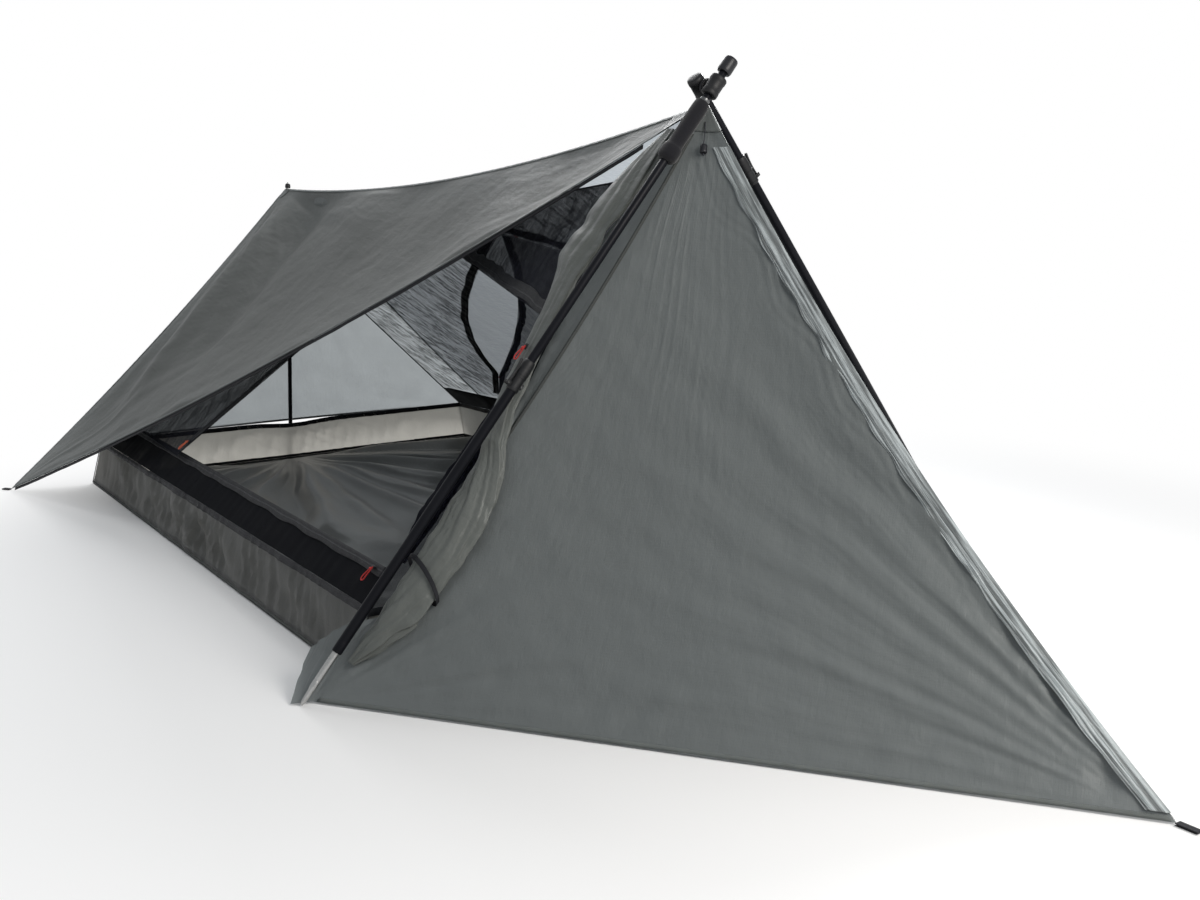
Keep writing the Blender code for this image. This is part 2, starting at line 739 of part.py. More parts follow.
SIDEWAYS = Vector((1, 0, 0))
REAR_POLE_FOOT = spot(0, 2.165, 0.002)
REAR_POLE_TOP = spot(0, PIN_RUN + 0.001, REAR_HEIGHT - PIN_DROP)
for name, run in (("ridge_tab_front", 0.456), ("ridge_tab_rear", 1.200)):
    inner_share = (run - 0.130) / (2.072 - 0.130)
    low = line(INNER_FRONT, INNER_REAR, inner_share) + Vector((0, 0, 0.0016))
    high = ridge(run / RIDGE_RUN) + Vector((0, 0, -0.0017))
    tab = bar(low, Vector((0, low.y, high.z)), 0.015, 0.001, SIDEWAYS)
    keep(tab, name, material(f"{name}_web", TAPE_CLOTH, 0.7))
pole_at_tie = line(REAR_POLE_FOOT, REAR_POLE_TOP, (INNER_REAR_HEIGHT + 0.006) / REAR_POLE_TOP.z)
keep(bar(Vector((0, INNER_REAR.y + 0.0008, INNER_REAR_HEIGHT - 0.002)),
         Vector((0, pole_at_tie.y - REAR_POLE_RADIUS - SEAM_GAP, INNER_REAR_HEIGHT - 0.002)),
         0.012, 0.001, SIDEWAYS), "rear_tie", material("rear_tie_web", TAPE_CLOTH, 0.7))

# Webbing tabs at the three staked corners
for name, corner, direction in (
    ("stake_tab_front", FRONT_CORNER, Vector((0, -1, 0))),
    ("stake_tab_rear_left", rear_corner(-1), Vector((-0.6, 0.8, 0))),
    ("stake_tab_rear_right", rear_corner(1), Vector((0.6, 0.8, 0))),
):
    reach = 0.0350 if corner is FRONT_CORNER else 0.0265
    start = Vector((corner.x, corner.y, 0.003)) + direction * 0.0008
    end = Vector((corner.x, corner.y, 0.003)) + direction * (reach - 0.0005)
    tab = bar(start, end, 0.012, 0.003, Vector((0, 0, 1)))
    keep(tab, name, material(f"{name}_web", TAPE_CLOTH, 0.7))


# The front poles


def frame_of(side):
    """The pole's own frame: origin on the hub's axis, Z up the pole, X away from the cloth."""
    foot = spot(side * POLE_FOOT_X, POLE_FOOT_RUN, 0.002)
    cross = spot(0, side * POLE_SIDE_STEP, CROSSING_HEIGHT)
    up = (cross - foot).normalized()
    out = Vector((side * 0.78, 0, 0.63))
    out = (out - up * out.dot(up)).normalized()
    turn = Matrix((out, up.cross(out), up)).transposed().to_4x4()
    return Matrix.Translation(cross) @ turn, (cross - foot).length


def turned(name, outline, frame, mat, steps=16, closed=False):
    """Spins an outline of (radius, height) about the frame's Z axis."""
    mesh = bpy.data.meshes.new(name)
    points = [(radius, 0, height) for radius, height in outline]
    edges = [(k, k + 1) for k in range(len(points) - 1)]
    if closed:
        edges.append((len(points) - 1, 0))
    mesh.from_pydata(points, edges, [])
    obj = bpy.data.objects.new(name, mesh)
    obj.matrix_world = frame
    tent.objects.link(obj)
    spin = obj.modifiers.new("Turn", "SCREW")
    spin.steps = steps
    spin.render_steps = steps
    spin.use_merge_vertices = True
    spin.merge_threshold = 0.00001
    spin.use_smooth_shade = False
    return keep(obj, name, mat)


def block(frame, low, high):
    """A box in a pole's frame."""
    bpy.ops.mesh.primitive_cube_add(size=1)
    obj = bpy.context.object
    for vertex in obj.data.vertices:
        vertex.co = Vector(
            [low[k] + (high[k] - low[k]) * (vertex.co[k] + 0.5) for k in range(3)]
        )
    obj.matrix_world = frame
    return obj


def cross_pin(frame, x, z, radius, half, vertices=12):
    """A cylinder along a pole frame's Y axis."""
    bpy.ops.mesh.primitive_cylinder_add(vertices=vertices, radius=radius, depth=2 * half)
    obj = bpy.context.object
    for vertex in obj.data.vertices:
        vertex.co = Vector((x + vertex.co.x, vertex.co.z, z - vertex.co.y))
    obj.matrix_world = frame
    return obj


def front_pole(name, side, clamp_at, grip):
    frame, length = frame_of(side)

    def at(distance):
        return distance - length

    fit = RUNNING_FIT
    tube_top = clamp_at + 0.010
    turned(f"{name}_tip", [(0, at(0.180)), (TIP_RADIUS, at(0.180)), (TIP_RADIUS, at(0.036)),
                           (0.0050, at(0.030)), (0.0042, at(0.006)), (0.0020, at(0)), (0, at(0))],
           frame, material(f"{name}_tip_metal", BRIGHT, 0.35, 1.0))
    turned(f"{name}_tube",
           [(TUBE_RADIUS, at(tube_top)), (TUBE_RADIUS, at(0.112)), (TUBE_RADIUS - 0.001, at(0.105)),
            (TIP_RADIUS + fit, at(0.105)), (TIP_RADIUS + fit, at(0.125)), (TUBE_BORE, at(0.125)),
            (TUBE_BORE, at(tube_top))],
           frame, material(f"{name}_tube_paint", POLE_BLACK, 0.30), closed=True)
    shaft_foot = 0.56 if grip else clamp_at - 0.10
    shaft_top = 1.372 if grip else length + 0.016
    turned(f"{name}_shaft",
           [(0, at(shaft_top)), (SHAFT_RADIUS, at(shaft_top)), (SHAFT_RADIUS, at(shaft_foot)), (0, at(shaft_foot))],
           frame, material(f"{name}_shaft_paint", POLE_BLACK, 0.30))

    top, bottom = clamp_at + CLAMP_LENGTH / 2, clamp_at - CLAMP_LENGTH / 2
    clamp = turned(f"{name}_clamp",
                   [(CLAMP_RADIUS - 0.001, at(top)), (CLAMP_RADIUS, at(top - 0.001)),
                    (CLAMP_RADIUS, at(bottom + 0.001)), (CLAMP_RADIUS - 0.001, at(bottom)),
                    (TUBE_RADIUS + fit, at(bottom)), (TUBE_RADIUS + fit, at(tube_top + SEAM_GAP)),
                    (SHAFT_RADIUS + fit, at(tube_top + SEAM_GAP)), (SHAFT_RADIUS + fit, at(top))],
                   frame, material(f"{name}_clamp_plastic", TAPE_CLOTH, 0.5), closed=True, steps=24)
    hinge = at(bottom + 0.008)
    lug = as_cutter(block(frame, (0.0104, -0.0062, hinge - 0.0034), (0.0192, 0.0062, hinge + 0.0034)),
                    f"{name}_lug_tool")
    slot = as_cutter(block(frame, (CLAMP_RADIUS + 0.0003, -0.0038, hinge - 0.01), (0.03, 0.0038, hinge + 0.01)),
                     f"{name}_slot_tool")
    pin = as_cutter(cross_pin(frame, LEVER_HINGE_OUT, hinge, 0.0012, 0.0050), f"{name}_pin_tool")
    boolean(boolean(boolean(clamp, "UNION", lug), "DIFFERENCE", slot), "UNION", pin)

    lever_mat = material(f"{name}_lever_plastic", TAPE_CLOTH, 0.45)
    lever = keep(block(frame, (LEVER_HINGE_OUT - 0.0026, -0.0034, hinge + 0.0012),
                       (LEVER_HINGE_OUT + 0.0014, 0.0034, hinge + LEVER_LENGTH)), f"{name}_lever", lever_mat)
    knuckle = as_cutter(cross_pin(frame, LEVER_HINGE_OUT, hinge, 0.0028, 0.0034), f"{name}_knuckle_tool")
    bore = as_cutter(cross_pin(frame, LEVER_HINGE_OUT, hinge, 0.0012 + fit, 0.01), f"{name}_bore_tool")
    boolean(boolean(lever, "UNION", knuckle), "DIFFERENCE", bore)

    ring_plastic = material(f"{name}_ring_plastic", TAPE_CLOTH, 0.5)
    if not grip:
        turned(f"{name}_ring",
               [(0, at(length + 0.024)), (0.013, at(length + 0.024)), (0.016, at(length + 0.020)),
                (0.016, at(length - 0.020)), (0.0145, at(length - 0.022)), (SHAFT_RADIUS + fit, at(length - 0.022)),
                (SHAFT_RADIUS + fit, at(shaft_top + SEAM_GAP)), (0, at(shaft_top + SEAM_GAP))],
               frame, ring_plastic, steps=20)
        return
    turned(f"{name}_ring",
           [(0.0145, at(length + 0.020)), (0.016, at(length + 0.018)), (0.016, at(length - 0.018)),
            (0.0145, at(length - 0.020)), (SHAFT_RADIUS + fit, at(length - 0.020)),
            (SHAFT_RADIUS + fit, at(length + 0.020))],
           frame, ring_plastic, closed=True, steps=20)
    turned(f"{name}_cap",
           [(0, at(1.385)), (0.0120, at(1.385)), (0.0140, at(1.382)), (0.0140, at(1.358)),
            (0.0125, at(1.354)), (SHAFT_RADIUS + fit, at(1.354)), (SHAFT_RADIUS + fit, at(shaft_top + SEAM_GAP)),
            (0, at(shaft_top + SEAM_GAP))],
           frame, material(f"{name}_cap_plastic", TAPE_CLOTH, 0.45), steps=20)
    turned(f"{name}_grip",
           [(0.0120, at(1.286)), (0.0150, at(1.280)), (0.0155, at(1.262)), (0.0152, at(1.196)),
            (0.0160, at(1.186)), (0.0188, at(1.180)), (0.0192, at(1.170)), (0.0180, at(1.160)),
            (0.0130, at(1.154)), (SHAFT_RADIUS + fit, at(1.154)), (SHAFT_RADIUS + fit, at(1.286))],
           frame, material(f"{name}_foam", TAPE_CLOTH, 0.85), closed=True, steps=20)


front_pole("left_pole", -1, 0.680, True)
front_pole("right_pole", 1, 1.130, False)

# The hub that both poles turn about, and its strap
HUB = spot(0, 0, CROSSING_HEIGHT)
bpy.ops.mesh.primitive_cylinder_add(vertices=24, radius=HUB_RADIUS, depth=2 * HUB_HALF)
hub = keep(bpy.context.object, "apex_hub", material("hub_plastic", TAPE_CLOTH, 0.5))
for vertex in hub.data.vertices:
    vertex.co = HUB + Vector((vertex.co.x, -vertex.co.z, vertex.co.y))
bevel = hub.modifiers.new("Edge", "BEVEL")
bevel.width = 0.0008
bevel.segments = 1

bpy.ops.mesh.primitive_cylinder_add(
    vertices=20, radius=HUB_RADIUS + 2 * SEAM_GAP, depth=0.006, end_fill_type="NOTHING"
)
strap = keep(bpy.context.object, "hub_strap", material("strap_web", TAPE_CLOTH, 0.7))
for vertex in strap.data.vertices:
    x, z = vertex.co.x, vertex.co.y
    if z < -0.95 * HUB_RADIUS:
        z = APEX_HEIGHT + 0.0054 - CROSSING_HEIGHT
    vertex.co = HUB + Vector((x, -vertex.co.z, z))
closed_outward(strap, HUB)
solidify(strap, 0.0014)

# The rear pole
rear_up = (REAR_POLE_TOP - REAR_POLE_FOOT).normalized()
rear_length = (REAR_POLE_TOP - REAR_POLE_FOOT).length
rear_side = (SIDEWAYS - rear_up * SIDEWAYS.dot(rear_up)).normalized()
rear_turn = Matrix((rear_side, rear_up.cross(rear_side), rear_up)).transposed().to_4x4()
rear_frame = Matrix.Translation(REAR_POLE_FOOT) @ rear_turn
turned("rear_pole",
       [(0, rear_length), (REAR_POLE_RADIUS, rear_length), (REAR_POLE_RADIUS, 0.020), (0.0082, 0.018),
        (0.0082, 0.002), (0.0070, 0.0), (0, 0.0)],
       rear_frame, material("rear_pole_paint", POLE_BLACK, 0.35))
turned("rear_pole_pin",
       [(0, rear_length + 0.038), (0.0014, rear_length + 0.038), (REAR_PIN_RADIUS, rear_length + 0.036),
        (REAR_PIN_RADIUS, rear_length + 0.004), (0.0050, rear_length + 0.004), (0.0050, rear_length + SEAM_GAP),
        (0, rear_length + SEAM_GAP)],
       rear_frame, material("rear_pin_metal", BRIGHT, 0.35, 1.0), steps=12)


# Zip sliders with their cord pulls


def slider(name, place, run, outward, hang):
    """A slider body lying on a tape, and its pull: a short folded cord hanging from it."""
    run = run.normalized()
    outward = (outward - run * outward.dot(run)).normalized()
    base = place + outward * 0.0006
    middle = base + outward * 0.0020
    body = bar(middle - run * 0.006, middle + run * 0.006, 0.008, 0.0036, outward)
    hang = (hang - outward * min(hang.dot(outward), 0)).normalized()
    start = base + outward * 0.0032
    pull = bar(start, start + hang * 0.032 + outward * 0.004, 0.005, 0.0024, outward)
    for piece in (body, pull):
        for vertex in piece.data.vertices:
            vertex.co -= place
        piece.location = place
    keep(body, name, material(f"{name}_red", PULL_RED, 0.6))
    return boolean(body, "UNION", as_cutter(pull, f"{name}_pull_tool"))


DOWN = Vector((0, 0, -1))
STRIP_OUT = Vector((-0.77, 0, 0.64))
tape_top = MESH + LAY_GAP + TAPE


def on_tape(point, outward):
    return point + outward.normalized() * tape_top


strip_left = four_sided(wall_corner(-1, False, WALL_HEIGHT), wall_corner(-1, True, WALL_HEIGHT),
                        strip_corner(-1, False), strip_corner(-1, True))
strip_run = strip_left(1, 0.86) - strip_left(0, 0.86)
slider("slider_left_front", on_tape(strip_left(0.03, 0.86), STRIP_OUT), strip_run, STRIP_OUT, DOWN)


def arch_slider(name, side, share, depth, run, hang):
    """A slider on an arch tape: share along the arch, depth metres in from its edge."""
    surface = fixed_wall(side)
    outward = Vector((side, 0, 0.8))
    width = (surface(share, 1) - surface(share, 0)).length
    normal = normal_at(surface, share, depth / width, outward)
    return slider(name, on_tape(surface(share, depth / width), normal), run, normal, hang)


arch_slider("slider_left_rear", -1, 0.030, 0.010, LEG_TOP[-1] - LEG_FOOT[-1], DOWN)
arch_slider("slider_right_lower", 1, 0.070, 0.010, LEG_FOOT[1] - LEG_TOP[1], DOWN)
arch_slider("slider_right_upper", 1, 0.520, 0.010, FRONT_TOP[1] - LEG_TOP[1], Vector((0.3, 0, -1)))
slider("slider_side_right",
       on_ridge("door_right", 1, "roof_right", 1, 0.93, FLY + LAY_GAP + TAPE),
       APEX - rear_corner(1), Vector((0.75, 0, 0.66)), DOWN)
parked, parked_out = beside_seam(0.43, -0.052)
slider("slider_fly_left", parked + parked_out * (2 * 0.0165 + ROLL_CLEARANCE - 0.0030),
       pole_seam(-1)(0.45) - pole_seam(-1)(0.41), parked_out, DOWN)


# Cord and lock at the front apex


def cord(name, points, radius, mat):
    curve = bpy.data.curves.new(name, "CURVE")
    curve.dimensions = "3D"
    curve.bevel_depth = radius
    curve.bevel_resolution = 2
    curve.use_fill_caps = True
    spline = curve.splines.new("POLY")
    spline.points.add(len(points) - 1)
    for target, point in zip(spline.points, points):
        target.co = (*point, 1)
    obj = bpy.data.objects.new(name, curve)
    tent.objects.link(obj)
    return keep(obj, name, mat)


CORD_RADIUS = 0.0010
cord_top = lifted("vestibule_left", 0.45, 0.030, FLY + LAY_GAP + 0.0008 + CORD_RADIUS + 0.0004)
cord_low = lifted("vestibule_left", 0.47, 0.085, FLY + 0.0120)
cord_run = (cord_low - cord_top).normalized()
cord("apex_cord", [line(cord_top, cord_low, k / 6) for k in range(7)], CORD_RADIUS,
     material("cord_sheath", TAPE_CLOTH, 0.8))
lock_middle = line(cord_top, cord_low, 0.84)
lock_side = cord_run.cross(Vector((0, 0, 1))).normalized()
lock_turn = Matrix((lock_side, (-cord_run).cross(lock_side), -cord_run)).transposed().to_4x4()
lock_frame = Matrix.Translation(lock_middle) @ lock_turn
turned("cord_lock",
       [(0.0045, 0.0090), (0.0068, 0.0070), (0.0068, -0.0070), (0.0045, -0.0090),
        (CORD_RADIUS + RUNNING_FIT, -0.0090), (CORD_RADIUS + RUNNING_FIT, 0.0090)],
       lock_frame, material("lock_plastic", TAPE_CLOTH, 0.35), closed=True)
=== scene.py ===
# %% [markdown]
# # A ridge tent on two crossed poles
#
# This lesson dresses a measured solid model of a small tent until it looks like the real one.
# The solid model brings the true sizes and the moving parts, and every piece made here rides on
# one of its bodies. Thin cloth makes most of what shows, so most of the lesson is about sheets:
# how they are cut, how they are pulled by poles and stakes, and how light passes through them.

# %% Load the measured model
import json
import math

import bmesh
import bpy
import numpy as np
from mathutils import Matrix, Vector

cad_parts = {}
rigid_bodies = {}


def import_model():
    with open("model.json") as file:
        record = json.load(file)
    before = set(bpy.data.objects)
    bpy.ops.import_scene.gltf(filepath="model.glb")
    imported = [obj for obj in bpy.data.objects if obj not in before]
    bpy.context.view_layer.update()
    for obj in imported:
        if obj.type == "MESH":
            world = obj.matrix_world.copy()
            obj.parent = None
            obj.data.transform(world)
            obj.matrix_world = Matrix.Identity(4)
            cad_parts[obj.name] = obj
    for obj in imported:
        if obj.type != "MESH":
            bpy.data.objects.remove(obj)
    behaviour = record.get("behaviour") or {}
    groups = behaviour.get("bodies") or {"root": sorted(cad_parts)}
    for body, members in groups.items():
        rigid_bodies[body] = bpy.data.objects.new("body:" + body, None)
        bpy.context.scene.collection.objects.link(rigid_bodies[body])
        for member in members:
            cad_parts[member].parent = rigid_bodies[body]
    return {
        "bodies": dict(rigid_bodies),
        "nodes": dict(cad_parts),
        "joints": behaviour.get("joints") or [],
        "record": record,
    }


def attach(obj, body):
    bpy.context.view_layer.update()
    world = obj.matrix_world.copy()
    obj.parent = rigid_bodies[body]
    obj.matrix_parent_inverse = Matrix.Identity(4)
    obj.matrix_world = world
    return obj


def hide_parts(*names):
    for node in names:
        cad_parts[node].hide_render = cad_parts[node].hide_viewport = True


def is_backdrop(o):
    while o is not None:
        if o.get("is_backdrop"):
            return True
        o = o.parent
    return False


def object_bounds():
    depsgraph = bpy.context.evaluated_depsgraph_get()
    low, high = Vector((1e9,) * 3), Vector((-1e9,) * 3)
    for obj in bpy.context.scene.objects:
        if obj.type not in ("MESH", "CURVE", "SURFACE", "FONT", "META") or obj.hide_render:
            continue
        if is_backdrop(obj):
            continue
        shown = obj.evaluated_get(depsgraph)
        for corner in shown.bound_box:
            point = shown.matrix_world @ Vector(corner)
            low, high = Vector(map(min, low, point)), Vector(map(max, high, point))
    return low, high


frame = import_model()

cad_low, cad_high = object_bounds()
bpy.ops.object.select_all(action="DESELECT")

# %% [markdown]
# ## Sizes
#
# All places are in metres. X runs from the open door on the left to the right side, Y from the
# front stake to the rear, and Z is up. `spot` takes a distance behind the front apex, because
# every cloth panel hangs from there or from the rear apex.

# %% Sizes shared by all pieces
LENGTH = 3.297
APEX_Y = 1.085 - LENGTH / 2
APEX_HEIGHT, REAR_HEIGHT = 1.010, 0.855
RIDGE_RUN, PIN_RUN = 2.100, 2.078
SEAM_HALF, SEAM_RUN = 0.793, 0.065
REAR_HALF, REAR_RUN = 0.850, 2.190
STAKE_RUN, GROUND = -1.050, 0.003
LIFT = 0.0006


def spot(x, run, z):
    return np.array([x, run + APEX_Y, z], float)


APEX = spot(0, 0, APEX_HEIGHT)
REAR_APEX = spot(0, RIDGE_RUN, REAR_HEIGHT)
FRONT_CORNER = spot(0, STAKE_RUN, GROUND)
SEAM_FOOT = {side: spot(side * SEAM_HALF, SEAM_RUN, GROUND) for side in (-1, 1)}
REAR_CORNER = {side: spot(side * REAR_HALF, REAR_RUN, GROUND) for side in (-1, 1)}
print("front apex at", APEX.round(3), "rear apex at", REAR_APEX.round(3))

# %% [markdown]
# ## The camera
#
# The photograph was taken from the front left, a little below the height of the apex. Its place,
# turn and lens were solved from the straight lines of the poles, the floor and the hems, so the
# render can be laid over the photograph.

# %% Camera
CAMERA_PLACE = Vector((-1.6516, -2.6755, 0.8747))
YAW, PITCH, BANK = math.radians(33.6957), math.radians(10.8415), math.radians(-0.504)
SENSOR_WIDTH, FOCAL_PIXELS, PHOTO_WIDTH = 36, 1411.48, 1200
forward = Vector((math.sin(YAW) * math.cos(PITCH), math.cos(YAW) * math.cos(PITCH), -math.sin(PITCH)))
level = Vector((math.cos(YAW), -math.sin(YAW), 0))
upright = level.cross(forward)
right = level * math.cos(BANK) + upright * math.sin(BANK)
above = upright * math.cos(BANK) - level * math.sin(BANK)
bpy.ops.object.camera_add(location=CAMERA_PLACE)
camera = bpy.context.object
camera.name = "photo_camera"
camera.rotation_euler = Matrix((right, above, -forward)).transposed().to_euler()
camera.data.sensor_width = SENSOR_WIDTH
camera.data.lens = SENSOR_WIDTH * FOCAL_PIXELS / PHOTO_WIDTH
camera.data.clip_start, camera.data.clip_end = 0.05, 60
bpy.context.scene.camera = camera
print("lens", round(camera.data.lens, 2), "mm")

# %% [markdown]
# ## Points and curves
#
# The cloth is described by curves: the ridge sags a little, the front edge hangs in an arc, and
# the hips pull inwards. `between` mixes two points, and `hanging` adds the sag. The functions take
# whole arrays of positions, so that a panel of forty thousand points is worked out in one go.


# %% Points and curves
def between(a, b, t):
    return a + (b - a) * np.asarray(t, float)[..., None]


def hanging(a, b, t, sag):
    t = np.asarray(t, float)
    return between(a, b, t) + np.asarray(sag) * (4 * t * (1 - t))[..., None]


def unit(vectors):
    return vectors / np.maximum(np.linalg.norm(vectors, axis=-1, keepdims=True), 1e-9)


def ridge(t):
    return hanging(APEX, REAR_APEX, t, (0, 0, -0.055))


def roof_edge(side):
    return lambda t: hanging(APEX, REAR_CORNER[side], t, (0, 0, -0.040 if side < 0 else 0.0))


def pole_seam(side):
    sag = np.array((-side * 0.78, 0, -0.63)) * (0.030 if side < 0 else 0.010)
    return lambda t: hanging(APEX, SEAM_FOOT[side], t, sag)


def front_seam(t):
    return hanging(APEX, FRONT_CORNER, t, np.array((0, 0.68, -0.73)) * 0.050)


def hip(side):
    return lambda t: hanging(REAR_APEX, REAR_CORNER[side], t,
                             np.array((-side * 0.5, -0.3, -0.8)) * 0.018)


def straight(a, b):
    return lambda t: between(a, b, t)


def rear_hem(s):
    s = np.asarray(s, float)
    rise = (0.122 - 0.008 * s) * (1 - np.abs(2 * s - 1) ** 6)
    slope = (REAR_RUN - RIDGE_RUN) / REAR_HEIGHT
    return between(REAR_CORNER[-1], REAR_CORNER[1], s) + np.stack([0 * s, -slope * rise, rise], -1)


print("ridge sags to", round(float(ridge(0.5)[2]), 3))

# %% [markdown]
# ## Waves and creases
#
# Wrinkles in light cloth have no single size. `waves` adds a few cosines of unlike lengths, with a
# fixed seed so that each run gives the same cloth, and `creases` sharpens them into thin crests
# with wide hollows between, which is how coated nylon folds. `fan` lays such creases in rays
# round a point that pulls, and `stroke` presses one single fold from one point to another.


# %% Waves, creases, fans and strokes
def smooth(x, low, high):
    share = np.clip((x - low) / (high - low), 0, 1)
    return share * share * (3 - 2 * share)


def waves(x, seed, shortest, longest, count=7):
    rng = np.random.default_rng(seed)
    total = 0
    for _ in range(count):
        size = shortest * (longest / shortest) ** rng.random()
        total = total + rng.uniform(0.5, 1) * np.cos(2 * math.pi * x / size + rng.uniform(0, 6.28))
    return total / (0.55 * count)


def creases(x, seed, shortest, longest):
    return 2 * (1 - np.clip(np.abs(waves(x, seed, shortest, longest, 5)), 0, 1)) ** 2 - 0.6


def fan(flat, centre, seed, shortest, longest, height, near, far, sharp=False):
    away = flat - np.asarray(centre)
    reach = np.hypot(away[..., 0], away[..., 1])
    angle = np.arctan2(away[..., 1], away[..., 0]) + 0.02 * waves(reach, seed + 1, 0.2, 0.7)
    rays = (creases if sharp else waves)(angle, seed, shortest, longest)
    patch = 0.55 + 0.45 * waves(reach + 3 * angle, seed + 2, 0.25, 0.9)
    return height * rays * patch * smooth(reach, 0, near) * (1 - smooth(reach, far * 0.4, far))


def stroke(flat, start, end, width, height):
    start, end = np.asarray(start), np.asarray(end)
    run = end - start
    along = ((flat - start) @ run) / (run @ run)
    side = (flat - start) @ np.array((-run[1], run[0])) / np.hypot(*run)
    ends = smooth(along, -0.05, 0.25) * (1 - smooth(along, 0.75, 1.05))
    return height * ends * np.exp(-((side / width) ** 2))


def drift(flat, seed, size):
    """Soft, cloudy swellings with no direction."""
    rng = np.random.default_rng(seed)
    total = 0
    for _ in range(9):
        turn, length = rng.uniform(0, 3.15), size * rng.uniform(0.6, 1.8)
        x = flat[..., 0] * math.cos(turn) + flat[..., 1] * math.sin(turn)
        total = total + np.cos(2 * math.pi * x / length + rng.uniform(0, 6.28))
    return total / 4.5


print("a crease profile:", creases(np.linspace(0, 1, 5), 3, 0.2, 0.6).round(2))

# %% [markdown]
# ## Shader maths in plain Python
#
# A finish is easier to read as a formula than as a picture of wired nodes. `Value` wraps a socket,
# so that `1 - mask * 0.2` adds the Math nodes by itself. `Finish` starts a material, adds any
# other node by its type, its settings and its sockets, and closes with the shader.


# %% Values and finishes
class Value:
    def __init__(self, tree, socket):
        self.tree, self.socket = tree, socket

    def math(self, operation, *others, swapped=False):
        node = self.tree.nodes.new("ShaderNodeMath")
        node.operation = operation
        parts = [*others, self] if swapped else [self, *others]
        for slot, part in zip(node.inputs, parts):
            if isinstance(part, Value):
                self.tree.links.new(part.socket, slot)
            else:
                slot.default_value = part
        return Value(self.tree, node.outputs[0])

    def __add__(self, other):
        return self.math("ADD", other)

    __radd__ = __add__

    def __sub__(self, other):
        return self.math("SUBTRACT", other)

    def __rsub__(self, other):
        return self.math("SUBTRACT", other, swapped=True)

    def __mul__(self, other):
        return self.math("MULTIPLY", other)

    __rmul__ = __mul__

    def __truediv__(self, other):
        return self.math("DIVIDE", other)

    def __pow__(self, other):
        return self.math("POWER", other)

    def clamped(self):
        return self.math("MAXIMUM", 0.0).math("MINIMUM", 1.0)


class Finish:
    def __init__(self, name):
        self.material = bpy.data.materials.new(name)
        self.material.use_nodes = True
        self.tree = self.material.node_tree
        self.tree.nodes.clear()

    def node(self, kind, settings=None, output=0, **sockets):
        node = self.tree.nodes.new("ShaderNode" + kind)
        for key, value in (settings or {}).items():
            if key == "stops":
                ramp = node.color_ramp.elements
                while len(ramp) < len(value):
                    ramp.new(0.5)
                for stop, (place, shade) in zip(ramp, value):
                    stop.position, stop.color = place, (*([shade] * 3), 1)
            else:
                setattr(node, key, value)
        for key, value in sockets.items():
            slot = node.inputs[int(key[1:])] if key[0] == "i" and key[1:].isdigit() else node.inputs[
                key.replace("_", " ")
            ]
            if isinstance(value, Value):
                self.tree.links.new(value.socket, slot)
            else:
                slot.default_value = value
        return Value(self.tree, node.outputs[output])

    def place(self, pattern, scale=(1, 1, 1), turn=0.0):
        """Where a pattern reads its position: UV in metres along the cloth, or Object in the room."""
        found = self.node("TexCoord", output=pattern)
        if turn:
            found = self.node("Mapping", Vector=found, Rotation=(0, 0, turn))
        return self.node("Mapping", Vector=found, Scale=scale)

    def noise(self, where, size, detail=3.0, rough=0.5):
        return self.node("TexNoise", Vector=where, Scale=1 / size, Detail=detail, Roughness=rough)

    def blend(self, amount, first, second):
        """Mixes two colours by an amount from 0 to 1."""
        return self.node("Mix", {"data_type": "RGBA"}, output=2, i0=amount, i6=first, i7=second)

    def bump(self, height, depth, normal=None):
        extra = {"Normal": normal} if normal else {}
        return self.node("Bump", Height=height, Distance=depth, Strength=1.0, **extra)

    def close(self, shader):
        end = self.tree.nodes.new("ShaderNodeOutputMaterial")
        self.tree.links.new(shader.socket, end.inputs["Surface"])
        return self.material


def grey(red, green, blue):
    """A colour given as it shows on a screen, from 0 to 255, turned into light."""
    return tuple(((c / 255 + 0.055) / 1.055) ** 2.4 if c > 10 else c / 255 / 12.92
                 for c in (red, green, blue)) + (1.0,)


def toned(colour, factor, plus=0.0):
    """The same colour, darker or lighter."""
    return tuple(min(1, c * factor + plus) for c in colour[:3]) + (1,)


print("finishes ready")

# %% [markdown]
# ## What coated nylon looks like
#
# The fly is thin nylon with a silicone coating. Close up it shows a ripstop grid, a square every
# five millimetres where a thicker thread runs. Further away one sees broad, cloudy changes of tone
# and a soft sheen. Daylight also passes through it, so that the tent is bright inside. A Principled
# shader gives the outer face, and a Translucent shader mixed in gives the light that comes through.


